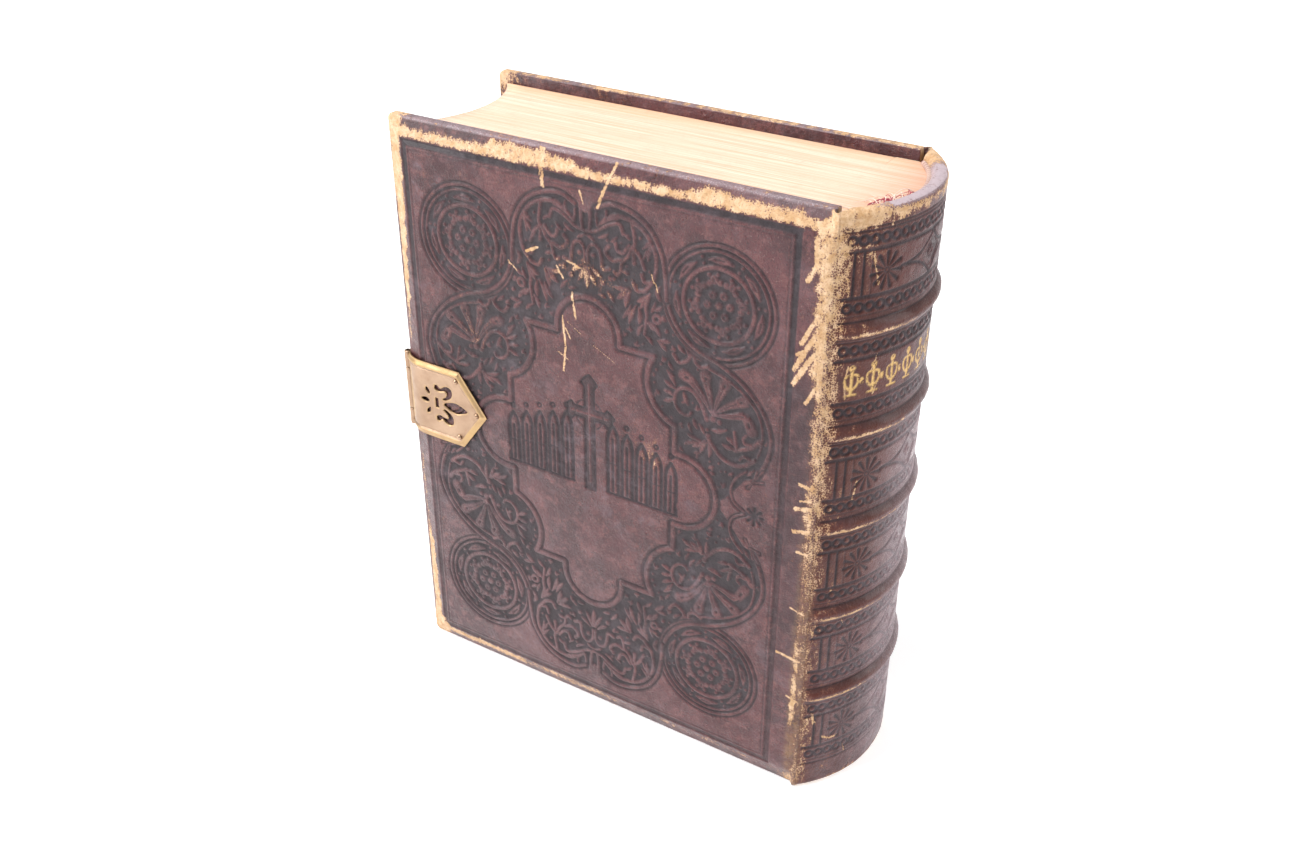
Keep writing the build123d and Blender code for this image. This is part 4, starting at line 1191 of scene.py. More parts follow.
def make_leaves(name, nodes, body, spine_edge=None, page=0.32):
    """A block of pages with trimmed, slightly uneven edges, in the space of its CAD nodes."""
    lows, highs = zip(*(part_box(node) for node in nodes))
    y_low = min(p.y for p in lows) / MM
    y_high = max(p.y for p in highs) / MM
    ys = np.linspace(y_low, y_high, max(2, int(round((y_high - y_low) / page)) + 1))
    share = 1 - (1 - np.linspace(0, 1, 40)) ** 1.6
    share_z = np.linspace(0, 1, 28)
    share_x, y, share_z = np.meshgrid(share, ys, share_z, indexing="ij")
    fore = back_x(y) - LEAF_WIDTH + page_offset("fore", y)
    back = back_x(y) if spine_edge is None else np.full(y.shape, spine_edge)
    x = fore + (back - fore) * share_x
    head = LEAF_HEAD - page_offset("head", y) - 0.10 * (1 + ripple(x, y, 70, 41)) * 0.5
    tail = LEAF_TAIL + page_offset("tail", y)
    z = tail + (head - tail) * share_z
    page_face = (share_x > 0) & (share_x < 1) & (share_z > 0) & (share_z < 1)
    block = lattice_skin(name, x, y, z, {"page": page_face})
    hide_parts(*nodes)
    if body == "book_block":
        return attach(block, body)
    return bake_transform(block)


def make_book_block():
    gatherings = [f"gathering_{i:02d}" for i in range(1, 9)]
    pieces = [make_leaves("middle_gatherings", gatherings, "book_block")]
    for word in ("rear", "front"):
        node = f"{word}_flyleaf"
        pieces.append(make_leaves(f"{node}_sheet", [node], node, X_TURN, page=0.3))
        for i in range(1, 4):
            node = f"{word}_leaves_{i}"
            pieces.append(make_leaves(f"{node}_pages", [node], node, X_TURN))
    return pieces


def make_leaf_folds(side, word):
    """Sewn folds of the turning leaves, between the gutter and the rounded back."""
    low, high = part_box(f"{word}_leaf_folds")
    inner = min(abs(low.y), abs(high.y)) / MM
    outer = max(abs(low.y), abs(high.y)) / MM
    depths = np.linspace(inner, LEAF_FACE, 38)
    shoulder = np.linspace(LEAF_FACE + 0.6, outer, 14)
    share_x, y, share_z = np.meshgrid(np.linspace(0, 1, 14), depths, np.linspace(0, 1, 28), indexing="ij")
    x = (X_TURN + 0.02) + (back_x(y) - X_TURN) * share_x
    head = LEAF_HEAD - page_offset("head", side * y) - 0.05 * (1 + ripple(x, side * y, 70, 41))
    z = LEAF_TAIL + page_offset("tail", side * y) + (head - LEAF_TAIL) * share_z
    folds = lattice_skin(f"{word}_leaf_fold_pages", x, side * y, z)
    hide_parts(f"{word}_leaf_folds")
    share_x, y, share_z = np.meshgrid(np.linspace(0, 1, 6), shoulder, np.linspace(0, 1, 28), indexing="ij")
    start = X_JOINT + 0.9
    x = start + np.maximum(back_x(y) - start, 0.05) * share_x
    z = LEAF_TAIL + 0.1 + (LEAF_HEAD - LEAF_TAIL - 0.2) * share_z
    ridge = lattice_skin(f"{word}_shoulder_folds", x, side * y, z)
    return [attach(folds, "book_block"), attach(ridge, "book_block")]


def make_headband(name, node):
    """Silk wound round a cord at the head or tail of the back."""
    low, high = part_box(node)
    radius = 1.3
    z = (LEAF_HEAD + radius) if low.z / MM > HEIGHT / 2 else (LEAF_TAIL - radius)
    middle = SPINE_RADIUS - 8.3
    half_angle = math.asin((high.y / MM) / (middle + radius)) * 0.98
    a = np.linspace(-half_angle, half_angle, 620)
    line = np.stack([SPINE_AXIS_X + middle * np.cos(a), middle * np.sin(a), np.full(len(a), z)], 1)
    turns = np.abs(np.sin(a * middle * math.pi / 0.9))
    stripe = (np.sin(a * middle * math.pi / 1.3) > 0).astype(float)
    radii = (radius - 0.12) + 0.12 * turns
    sides = 14
    fields = {"stripe": np.concatenate([np.repeat(stripe, sides), [0, 0]])}
    band_piece = tube(name, line, radii, sides, fields)
    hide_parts(node)
    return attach(band_piece, "book_block")


# ---- brasswork -----------------------------------------------------------------------------
def edge_distance(outline, x, z):
    """Distance inside a closed outline, negative outside it."""
    nearest = np.full(x.shape, np.inf)
    for start, end in zip(outline, np.roll(outline, -1, 0)):
        nearest = np.minimum(nearest, segment_gap(x, z, start, end)[0])
    return np.where(inside_outline(outline, x, z), nearest, -nearest)


def sheet_metal(name, outline, openings, surface, place, thickness, step=0.4):
    """Cut, engraved and bent metal sheet.

    surface(edge, hole, x, z) gives the face's height from the distances to the outline and to
    the openings and from the place, and place(x, z, height) puts a flat point where the bent
    sheet has it.
    """
    low = np.min(outline, 0) - step
    high = np.max(outline, 0) + step
    x, z = np.meshgrid(np.arange(low[0], high[0], step), np.arange(low[1], high[1], step), indexing="ij")

    def distances(px, pz):
        edge = edge_distance(outline, px, pz)
        hole = np.full(px.shape, 99.0)
        for opening in openings:
            hole = np.minimum(hole, -edge_distance(opening, px, pz))
        return edge, hole

    quads = grid_faces(*x.shape)
    quads = quads[np.minimum(*distances(x, z)).ravel()[quads].mean(1) > 0]
    # pull the cut boundary onto the outline and the openings
    directed = np.concatenate([quads[:, [i, (i + 1) % 4]] for i in range(4)])
    codes = directed[:, 0] * x.size + directed[:, 1]
    back = directed[:, 1] * x.size + directed[:, 0]
    border = directed[~np.isin(codes, back)]
    on_border = np.unique(border)
    flat_x, flat_z = x.ravel().copy(), z.ravel().copy()
    for _ in range(3):
        px, pz = flat_x[on_border], flat_z[on_border]
        here = np.minimum(*distances(px, pz))
        slope_x = (np.minimum(*distances(px + 0.05, pz)) - here) / 0.05
        slope_z = (np.minimum(*distances(px, pz + 0.05)) - here) / 0.05
        size = np.maximum(slope_x**2 + slope_z**2, 0.3)
        flat_x[on_border] = px - 0.9 * here * slope_x / size
        flat_z[on_border] = pz - 0.9 * here * slope_z / size
    edge, hole = distances(flat_x, flat_z)
    height = surface(np.maximum(edge, 0), np.maximum(hole, 0), flat_x, flat_z)
    used = np.unique(quads)
    number = np.full(x.size, -1)
    number[used] = np.arange(len(used))
    quads = number[quads]
    border = number[border]
    polish = 1 - smoothstep(2.9, 3.8, edge)
    polish = np.maximum(polish, 0.7 * (1 - smoothstep(0.2, 1.2, hole)))
    face = place(flat_x[used], flat_z[used], height[used])
    under = place(flat_x[used], flat_z[used], height[used] * 0 + height.min() - thickness)
    count = len(used)
    walls = np.stack([border[:, 1], border[:, 0], border[:, 0] + count, border[:, 1] + count], 1)
    fields = {"polish": np.tile(polish[used], 2)}
    piece = make_mesh(name, np.vstack([face, under]), [quads, quads + count, walls], fields)
    piece.data.set_sharp_from_angle(angle=math.radians(40))
    return piece


PLATE_TIP = 55.6
PLATE_SHOULDER = 38.5
PLATE_HALF = 23.0
PLATE_BEND = (BEVEL_WIDTH**2 + BEVEL_DEPTH**2) / (2 * BEVEL_DEPTH)
PLATE_FACE = 1.25  # height of the plate's middle over the cover
KNUCKLE_LENGTH = 10.0


def fleur_openings():
    """Openings of the generic fleur-de-lis, from the fore-edge and the plate's middle."""
    petal = [
        (26.4, 0.3), (30.5, 2.4), (35.0, 3.1), (39.0, 2.0), (42.6, 0.0), (39.0, -2.0), (35.0, -3.1),
        (30.5, -2.4),
    ]
    curl = [
        (25.7, 3.3), (28.2, 5.2), (28.9, 7.6), (27.5, 8.5), (24.1, 7.7), (22.4, 7.7), (20.6, 8.9),
        (20.8, 10.6), (22.4, 11.1), (23.6, 9.9), (25.0, 9.6), (27.2, 11.1), (29.8, 11.7), (32.0, 10.6),
        (32.6, 8.2), (31.8, 5.8), (29.6, 4.0), (27.2, 2.9),
    ]
    drop = [(16.4, 4.2), (16.8, 5.6), (15.9, 7.4), (14.5, 8.0), (13.9, 6.8), (14.8, 5.4)]
    middle = [(10.4, 0.0), (12.4, 1.1), (14.8, 1.2), (16.2, 0.0), (14.8, -1.2), (12.4, -1.1)]
    openings = [flow(petal, closed=True, per=4), flow(middle, closed=True, per=4)]
    for sign in (1, -1):
        for shape in (curl, drop):
            openings.append(flow(np.array(shape) * (1, sign), closed=True, per=4))
    openings.append(np.array([(20.5, -2.9), (22.6, -2.9), (22.6, 2.9), (20.5, 2.9)]))
    return [np.asarray(o) + (0, PLATE_Z) for o in openings]


def make_clasp_plate(side, word, node):
    """Bent brass plate: bevelled rim, engraved lines, pierced fleur-de-lis and two knuckles."""
    low, high = PLATE_Z - PLATE_HALF, PLATE_Z + PLATE_HALF
    start = BEVEL_WIDTH - math.radians(50) * PLATE_BEND
    notch = start + 2.7
    outline = [
        (start, low), (PLATE_SHOULDER, low), (PLATE_TIP, PLATE_Z), (PLATE_SHOULDER, high), (start, high),
        (start, high - KNUCKLE_LENGTH), (notch, high - KNUCKLE_LENGTH), (notch, low + KNUCKLE_LENGTH),
        (start, low + KNUCKLE_LENGTH),
    ]
    pointed_end = outline[1:4]
    plate_edge = [(-40, low), *pointed_end, (-40, high)]

    def surface(_, hole, x, z):
        rim = edge_distance(plate_edge, x, z)
        bevel = 1.75 - 0.95 * (1 - smoothstep(0.0, 2.9, rim))
        height = np.where(rim < 3.3, bevel, PLATE_FACE + 0.5 * (1 - smoothstep(3.3, 3.8, rim)))
        height = height - 0.22 * bump(rim, 4.5, 0.45)
        height = height - 0.16 * bump(hole, 1.9, 0.42) - 0.35 * (1 - smoothstep(0.0, 0.5, hole))
        return height + 0.05 * ripple(x, z, 15, 51) + 0.02 * ripple(x, z, 4, 52)

    def place(x, z, height):
        a = np.clip((BEVEL_WIDTH - x) / PLATE_BEND, 0, None)
        radius = PLATE_BEND + height
        bent_x = np.where(x < BEVEL_WIDTH, BEVEL_WIDTH - radius * np.sin(a), x)
        bent_y = np.where(x < BEVEL_WIDTH, radius * np.cos(a) - PLATE_BEND, height)
        return np.stack([X_FORE + bent_x, side * (HALF + bent_y), z], 1)

    plate = sheet_metal(f"{word}_plate", outline, fleur_openings(), surface, place, 0.55)
    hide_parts(node)
    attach(plate, f"{word}_cover")
    parts = [plate]
    for label, z0, z1 in (("low", low, low + KNUCKLE_LENGTH), ("high", high - KNUCKLE_LENGTH, high)):
        parts.append(make_knuckle(f"{word}_knuckle_{label}", side, z0, z1, f"{word}_cover"))
    return parts


KNUCKLE_RADIUS = 2.0


def make_knuckle(name, side, z_low, z_high, body):
    """Rolled knuckle with eased ends."""
    barrel = np.linspace(z_low + 0.6, z_high - 0.6, 14)
    zs = np.concatenate([[z_low, z_low + 0.25], barrel, [z_high - 0.25, z_high]])
    radii = np.full(len(zs), KNUCKLE_RADIUS)
    radii[[0, -1]] -= 0.4
    radii[[1, -2]] -= 0.1
    line = np.stack([np.full(len(zs), KNUCKLE_X), np.full(len(zs), side * KNUCKLE_Y), zs], 1)
    piece = tube(name, line, radii, 28)
    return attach(piece, body)


def make_clasp_arm():
    """Waisted brass strap with a bevelled border, engraved lines and a pierced lozenge."""
    low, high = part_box("clasp_arm")
    first, last = -KNUCKLE_Y, high.y / MM
    half, waist = 11.5, 8.0
    between = (half + waist) / 2
    side_line = flow([
        (first, half), (first / 2, between - 0.6), (0, waist), (last / 2 - 4, between - 0.7),
        (last - 8, half), (last - 3.2, half * 0.72), (last, 0.0),
    ])
    outline = np.vstack([side_line, (side_line * (1, -1))[::-1][1:]])
    outline[:, 1] += PLATE_Z
    openings = []
    for middle, reach, rise in ((-26.0, 6.0, 2.4), (0.0, 8.0, 2.0), (24.0, 6.0, 2.4)):
        lozenge = [
            (-reach, 0), (-1.5, rise * 0.6), (0, rise), (1.5, rise * 0.6), (reach, 0), (1.5, -rise * 0.6),
            (0, -rise), (-1.5, -rise * 0.6),
        ]
        openings.append(np.array(lozenge) + (middle, PLATE_Z))
    start_x = KNUCKLE_X - KNUCKLE_RADIUS

    def surface(edge, hole, y, z):
        height = 1.4 - 0.5 * (1 - smoothstep(0.0, 1.9, edge)) - 0.2 * bump(edge, 2.9, 0.4)
        height = height - 0.16 * bump(hole, 1.5, 0.4) - 0.25 * (1 - smoothstep(0, 0.5, hole))
        return height + 0.03 * ripple(y, z, 9, 53)

    def place(y, z, height):
        t = (y - first) / (last - first)
        bow = 1.8 * np.sin(math.pi * t) + 0.6 * t
        return np.stack([start_x - bow + 1.35 - height, y, z], 1)

    arm = sheet_metal("clasp_strap", outline, openings, surface, place, 0.35)
    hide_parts("clasp_arm")
    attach(arm, "clasp_arm")
    knuckle = make_knuckle("clasp_strap_knuckle", -1, low.z / MM, high.z / MM, "clasp_arm")
    return [arm, knuckle]


NAIL_PLACES = [(PLATE_TIP - 6.6, 0), (36.0, -17), (36.0, 17)]  # from the fore-edge and PLATE_Z
NAIL_PROFILE = [  # (radius, height over the plate) from the crown to the hidden foot
    (0.0, 1.15), (0.35, 1.12), (0.7, 0.98), (1.0, 0.78), (1.25, 0.5), (1.42, 0.28), (1.5, 0.14), (1.55, 0.0),
    (1.5, -0.5),
]
NAIL_SIDES = 24


def make_nail_heads(side, word):
    """Domed heads with a fine flange, on the CAD's nail places."""
    a = np.linspace(0, math.tau, NAIL_SIDES, endpoint=False)
    ring = np.arange(NAIL_SIDES)
    points = []
    faces = []
    for x, z in NAIL_PLACES:
        first = len(points) * NAIL_SIDES
        for radius, height in NAIL_PROFILE:
            r = radius + 0.001
            y = np.full(NAIL_SIDES, side * (HALF + PLATE_FACE + height))
            points.append(np.stack([X_FORE + x + r * np.cos(a), y, PLATE_Z + z + r * np.sin(a)], 1))
        last = (len(points) - 1) * NAIL_SIDES
        faces.append(grid_faces(len(NAIL_PROFILE), NAIL_SIDES, first, closed=True))
        faces += [[first + ring], [last + ring]]
    heads = make_mesh(f"{word}_nail_heads", np.vstack(points), faces)
    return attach(heads, f"{word}_cover")


THREAD_SIDES = 5
THREAD_STEPS = 12
THREAD_WIDTH = 0.23


def make_threads(name, seed, count, reach):
    """Silk threads frayed from the headband, lying on the head of the leaves."""
    rng = np.random.default_rng(seed)
    ring = np.linspace(0, math.tau, THREAD_SIDES, endpoint=False)
    t = np.linspace(0, 1, THREAD_STEPS)
    points = []
    faces = []
    for i in range(count):
        s = rng.normal(34, 12)
        a = SPINE_HALF_ANGLE - s / SPINE_RADIUS
        start = SPINE_RADIUS - rng.uniform(7.2, 8.8)
        heading = a + math.pi + rng.uniform(-1.5, 1.3) + rng.uniform(-0.9, 0.9) * t
        length = rng.uniform(0.4, 1.0) * reach
        step = length / THREAD_STEPS
        x = SPINE_AXIS_X + start * math.cos(a) + np.cumsum(np.cos(heading)) * step
        y = -start * math.sin(a) - np.cumsum(np.sin(heading)) * step
        z = LEAF_HEAD + 1.2 * (1 - t) + rng.uniform(0.3, 4.0) * np.sin(math.pi * t**0.8) + 0.2
        width = THREAD_WIDTH * (1 - 0.5 * t)[:, None]
        rings = [x[:, None] + width * np.cos(ring), y[:, None] + 0 * ring, z[:, None] + width * np.sin(ring)]
        points.append(np.stack(rings, -1).reshape(-1, 3))
        index = THREAD_SIDES * THREAD_STEPS * i + np.arange(THREAD_SIDES * THREAD_STEPS)
        faces.append(grid_faces(THREAD_STEPS, THREAD_SIDES, index[0], closed=True))
        faces += [index[None, :THREAD_SIDES], index[None, -THREAD_SIDES:]]
    threads = make_mesh(name, np.vstack(points), faces)
    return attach(threads, "book_block")


# ---- materials ---------------------------------------------------------------------------
class Surface:
    """Short way to write a node material. Positions are in millimetres at rest."""

    def __init__(self, name, made=True, roughness=0.6, metallic=0.0):
        self.material = bpy.data.materials.new(name)
        self.material.use_nodes = True
        self.tree = self.material.node_tree
        self.bsdf = self.tree.nodes["Principled BSDF"]
        self.shade({"Roughness": roughness, "Metallic": metallic})
        if made:
            self.place = self.node("Attribute", "Vector", {}, attribute_name="rest")
        else:
            place = self.node("TexCoord", "Object", {})
            self.place = self.node("VectorMath", 0, {0: place, "Scale": 1 / MM}, operation="SCALE")

    def put(self, socket, value):
        """Link a socket, or set its constant."""
        if isinstance(value, bpy.types.NodeSocket):
            self.tree.links.new(value, socket)
        elif isinstance(value, tuple) and socket.type == "RGBA":
            socket.default_value = (*value, 1.0)
        else:
            socket.default_value = value

    def node(self, kind, output, inputs, **settings):
        """One output of a new shader node."""
        node = self.tree.nodes.new("ShaderNode" + kind)
        for name, value in settings.items():
            setattr(node, name, value)
        for socket, value in inputs.items():
            self.put(node.inputs[socket], value)
        return node.outputs[output]

    def shade(self, inputs):
        """Set or link sockets of the shader itself."""
        for socket, value in inputs.items():
            self.put(self.bsdf.inputs[socket], value)

    def math(self, operation, a, b=0.0):
        return self.node("Math", 0, {0: a, 1: b}, operation=operation)

    def along(self, axis):
        """The place along one axis."""
        return self.node("SeparateXYZ", axis, {0: self.place})

    def noise(self, size, detail, roughness, stretch=(1, 1, 1)):
        """Noise whose largest features are about size millimetres."""
        place = self.node("VectorMath", 0, {0: self.place, 1: stretch}, operation="MULTIPLY")
        inputs = {"Vector": place, "Scale": 1.0 / size, "Detail": detail, "Roughness": roughness}
        return self.node("TexNoise", "Fac", inputs)

    def cells(self, size, feature="F1", randomness=1.0):
        """Distance pattern of cells about size millimetres wide."""
        inputs = {"Vector": self.place, "Scale": 1.0 / size, "Randomness": randomness}
        return self.node("TexVoronoi", "Distance", inputs, feature=feature)

    def field(self, name):
        """A field that the meshes carry."""
        return self.node("Attribute", "Fac", {}, attribute_name=name)

    def step(self, value, low, high, to_low=0.0, to_high=1.0):
        """Smooth change from to_low to to_high while the value goes from low to high."""
        inputs = {"Value": value, "From Min": low, "From Max": high, "To Min": to_low, "To Max": to_high}
        return self.node("MapRange", "Result", inputs, interpolation_type="SMOOTHSTEP")

    def mix(self, share, a, b):
        """Colour between a and b."""
        return self.node("Mix", 2, {0: share, 6: a, 7: b}, data_type="RGBA")

    def blend_value(self, share, a, b):
        """Number between a and b."""
        return self.node("Mix", 0, {0: share, 2: a, 3: b}, data_type="FLOAT")

    def colour(self, value):
        self.shade({"Base Color": value})

    def relief(self, *layers):
        """Bump from (height, depth in millimetres) layers, laid over each other."""
        below = {}
        for height, depth in layers:
            inputs = {"Strength": 1.0, "Distance": depth * MM, "Height": height, **below}
            below = {"Normal": self.node("Bump", "Normal", inputs)}
        self.shade(below)

    def cover(self, *pieces):
        """Give the pieces this material alone."""
        for piece in pieces:
            piece.data.materials.clear()
            piece.data.materials.append(self.material)


def leather(name, specular, coat):
    """Worn brown leather, from the fields that its meshes carry."""
    s = Surface(name)
    wear = s.field("wear")
    ink = s.field("ink")
    sheen_and_dust = s.field("sheen_and_dust")
    gilt = s.field("gilt")
    pale = s.field("pale")
    blotch = s.noise(34, 4, 0.6)
    mottle = s.noise(5, 6, 0.7)
    grain = s.cells(0.9)
    pores = s.noise(0.75, 3, 0.6)
    creases = s.cells(7.5, "DISTANCE_TO_EDGE", randomness=0.95)

    brown = s.mix(s.step(blotch, 0.38, 0.62), (0.044, 0.0095, 0.0125), (0.091, 0.0255, 0.029))
    brown = s.mix(s.step(mottle, 0.47, 0.66, 0.0, 0.8), brown, (0.150, 0.051, 0.050))
    brown = s.mix(s.step(pores, 0.53, 0.66, 0.0, 0.8), brown, (0.018, 0.009, 0.011))
    specks = s.math("MULTIPLY", s.step(s.noise(1.3, 6, 0.8), 0.58, 0.68), s.step(blotch, 0.3, 0.6, 0.3, 0.75))
    brown = s.mix(specks, brown, (0.29, 0.165, 0.150))
    # darker, redder brown: painted shade towards the rear joint of the back, and the bands' red-brown stripes
    warm_and_shade = s.math("MULTIPLY", s.field("warm_and_shade"), s.step(mottle, 0.3, 0.6, 0.6, 1.0))
    brown = s.mix(warm_and_shade, brown, (0.092, 0.0215, 0.012))
    ochre = s.math("MULTIPLY", s.field("ochre"), s.step(s.noise(5, 7, 0.78), 0.38, 0.60, 0.15, 0.9))
    brown = s.mix(ochre, brown, (0.195, 0.100, 0.042))
    # dark: the pressed ground's own darker tone, and painted shade where the ink field holds the joints'
    # shade
    dark = s.mix(s.step(mottle, 0.35, 0.68), (0.010, 0.0075, 0.0105), (0.035, 0.022, 0.027))
    base = s.mix(s.math("MULTIPLY", ink, s.step(mottle, 0.2, 0.6, 0.75, 1.0)), brown, dark)
    # painted sheen with the grey bloom and dust: a lilac-grey veil mixed into the colour
    sheen_and_dust_share = s.math("MULTIPLY", sheen_and_dust, s.step(s.noise(12, 8, 0.78), 0.48, 0.66, 0.0, 0.55))
    base = s.mix(sheen_and_dust_share, base, (0.185, 0.142, 0.165))
    # painted highlight: lilac-pale on the grain's pebbles where the pale field asks for it, nearly solid
    # where that field is close to 1
    pebbles = s.step(grain, 0.12, 0.42, 1.0, 0.45)
    highlight_share = s.math("MULTIPLY", pale, s.math("MULTIPLY", pebbles, s.step(mottle, 0.25, 0.6, 0.65, 1.0)))
    highlight_share = s.math("MAXIMUM", highlight_share, s.step(pale, 0.86, 1.0, 0.0, 0.92))
    base = s.mix(highlight_share, base, (0.50, 0.41, 0.44))

    # rubbed places: the finish breaks up into specks, then shows the raw tan leather
    streaks = s.noise(2.6, 7, 0.7, stretch=(1.0, 1.0, 0.45))
    ragged = s.math("ADD", s.math("MULTIPLY", streaks, 0.62), s.math("MULTIPLY", s.noise(0.8, 4, 0.65), 0.38))
    cracks = s.step(s.cells(1.2, "DISTANCE_TO_EDGE"), 0.02, 0.16, 0.24, -0.06)
    bare_edge = s.math("ADD", wear, s.math("MULTIPLY", s.math("SUBTRACT", ragged, 0.5), 3.1))
    bare_edge = s.math("ADD", bare_edge, s.math("MULTIPLY", cracks, s.step(wear, 0.16, 0.42)))
    scuffed = s.step(bare_edge, 0.25, 0.55)
    bare = s.step(bare_edge, 0.58, 0.70)
    scuff = s.mix(s.step(mottle, 0.35, 0.65), (0.125, 0.038, 0.026), (0.24, 0.095, 0.055))
    tan = s.mix(s.step(s.noise(5, 8, 0.72), 0.34, 0.66), (0.50, 0.295, 0.140), (0.70, 0.49, 0.315))
    tan = s.mix(s.step(s.noise(1.0, 4, 0.65), 0.52, 0.70, 0.0, 0.6), tan, (0.40, 0.20, 0.09))
    base = s.mix(s.math("MULTIPLY", scuffed, 0.7), base, scuff)
    base = s.mix(bare, base, tan)

    gold = s.math("MULTIPLY", gilt, s.step(s.noise(1.6, 5, 0.7), 0.36, 0.50))
    base = s.mix(gold, base, (0.62, 0.40, 0.155))
    s.colour(base)

    gloss = s.blend_value(s.step(s.noise(7, 6, 0.7), 0.40, 0.62), 0.27, 0.50)
    gloss = s.blend_value(s.math("MULTIPLY", ink, 0.6), gloss, 0.70)
    gloss = s.blend_value(sheen_and_dust_share, gloss, 0.75)
    s.shade({
        "Metallic": s.math("MULTIPLY", gold, 0.55),
        "Roughness": s.blend_value(bare, gloss, 0.88),
        "Specular IOR Level": specular,
        "Coat Weight": coat,
        "Coat Roughness": 0.12,
    })
    s.relief(
        (s.math("ADD", s.step(grain, 0.05, 0.6), s.math("MULTIPLY", pores, 0.7)), 0.16),
        (s.noise(2.2, 6, 0.7), 0.6),
        (s.noise(9.0, 3, 0.6), 0.5),
        (s.step(creases, 0.0, 0.12), 0.05),
        (s.math("MULTIPLY", bare, -1.0), 0.25),
        (s.math("MULTIPLY", bare, s.noise(1.6, 6, 0.7)), 0.45),
    )
    return s


def page_edges():
    """Paper: striped, browned cut edges, and paler leaf faces where the page field is 1."""
    s = Surface("leaf_edges", roughness=0.86)
    lines = s.noise(1.0, 3, 0.6, stretch=(0.012, 2.6, 0.012))
    broad = s.noise(1.0, 2, 0.5, stretch=(0.006, 0.35, 0.006))
    spots = s.noise(9, 6, 0.7)
    foxing = s.step(s.noise(2.4, 5, 0.75), 0.66, 0.76)
    base = s.mix(s.step(broad, 0.3, 0.7), (0.73, 0.49, 0.365), (0.81, 0.615, 0.50))
    base = s.mix(s.step(lines, 0.42, 0.60, 0.0, 0.7), base, (0.60, 0.345, 0.215))
    base = s.mix(s.step(spots, 0.50, 0.78, 0.0, 0.5), base, (0.62, 0.37, 0.26))
    outward = s.step(s.math("ABSOLUTE", s.along("Y")), 24.0, 43.0, 0.0, 0.45)
    base = s.mix(outward, base, (0.72, 0.40, 0.20))
    near_back = s.step(s.along("X"), 92.0, 128.0, 0.0, 0.6)
    base = s.mix(near_back, base, (0.55, 0.30, 0.20))
    page = s.math("ADD", s.field("page"), s.math("MULTIPLY", s.noise(30, 5, 0.6), 0.5))
    base = s.mix(s.step(page, 0.35, 1.15, 0.0, 0.9), base, (0.80, 0.70, 0.55))
    s.colour(s.mix(s.math("MULTIPLY", foxing, 0.5), base, (0.50, 0.28, 0.17)))
    s.relief((lines, 0.16), (spots, 0.05))
    return s


def endpaper():
    """Clouded, foxed lining paper."""
    s = Surface("endpaper", roughness=0.8)
    cloud = s.noise(45, 5, 0.6)
    base = s.mix(s.step(cloud, 0.3, 0.7), (0.70, 0.56, 0.38), (0.80, 0.68, 0.50))
    fox = s.step(s.noise(7, 6, 0.8), 0.62, 0.74, 0.0, 0.6)
    base = s.mix(fox, base, (0.52, 0.33, 0.18))
    s.colour(s.mix(s.step(s.noise(1.2, 3, 0.6), 0.5, 0.8, 0.0, 0.25), base, (0.58, 0.44, 0.30)))
    s.relief((s.noise(0.8, 4, 0.6), 0.03), (cloud, 0.3))
    return s


def silk():
    """Two-coloured silk of the head and tail bands."""
    s = Surface("headband_silk", roughness=0.5)
    base = s.mix(s.field("stripe"), (0.40, 0.22, 0.19), (0.56, 0.42, 0.34))
    s.colour(s.mix(s.step(s.noise(4, 5, 0.7), 0.45, 0.7, 0.0, 0.5), base, (0.42, 0.28, 0.25)))
    s.shade({"Sheen Weight": 0.35})
    s.relief((s.noise(0.35, 3, 0.6, stretch=(1, 1, 0.2)), 0.04))
    return s


def plain(name, low, high, size, roughness=0.8, grain=(0.6, 0.04), made=False, metallic=0.0):
    """Two-tone material with fine grain, for the pieces that mostly stay hidden."""
    s = Surface(name, made=made, roughness=roughness, metallic=metallic)
    base = s.mix(s.step(s.noise(size, 5, 0.6), 0.3, 0.7), low, high)
    s.colour(s.mix(s.step(s.noise(size / 6, 4, 0.7), 0.5, 0.75, 0.0, 0.4), base, tuple(0.6 * c for c in low)))
    s.relief((s.noise(grain[0], 4, 0.65), grain[1]))
    return s


def brass(name, made, bright=1.0):
    """Dull old brass, brighter where the polish field is 1."""
    s = Surface(name, made=made, metallic=1.0)
    tarnish = s.noise(6, 7, 0.68)
    smear = s.noise(18, 4, 0.6)
    scratch = s.noise(1.0, 3, 0.6, stretch=(0.09, 1.2, 2.4))
    low, high = (0.325, 0.215, 0.145), (0.42, 0.290, 0.200)
    base = s.mix(s.step(smear, 0.3, 0.7), tuple(bright * c for c in low), tuple(bright * c for c in high))
    if made:
        gold = s.math("MULTIPLY", s.field("polish"), s.step(smear, 0.3, 0.7, 0.55, 1.0))
        base = s.mix(gold, base, (0.46, 0.305, 0.145))
    base = s.mix(s.step(tarnish, 0.52, 0.78, 0.0, 0.55), base, (0.34, 0.20, 0.125))
    base = s.mix(s.step(s.noise(1.8, 5, 0.75), 0.66, 0.78, 0.0, 0.5), base, (0.20, 0.12, 0.08))
    s.colour(base)
    s.shade({"Roughness": s.step(tarnish, 0.3, 0.75, 0.34, 0.54)})
    s.relief((scratch, 0.012), (s.noise(2.6, 4, 0.6), 0.02))
    return s


# ---- build the pieces --------------------------------------------------------------------
skins = [make_cover_skin(-1, "rear"), make_cover_skin(1, "front")]
back = make_spine_skin()
skins += [make_joint_strip(-1, "rear"), make_joint_strip(1, "front")]
leather("tooled_leather", specular=0.38, coat=0.14).cover(*skins)
leather("back_leather", specular=0.24, coat=0.08).cover(back)

pages = make_book_block() + make_leaf_folds(-1, "rear") + make_leaf_folds(1, "front")
page_edges().cover(*pages)

papers = [make_hinge_paper(-1, "rear"), make_hinge_paper(1, "front")]
endpaper().cover(*papers)

headbands = [make_headband("head_silk", "head_band"), make_headband("tail_silk", "tail_band")]
silk().cover(*headbands)

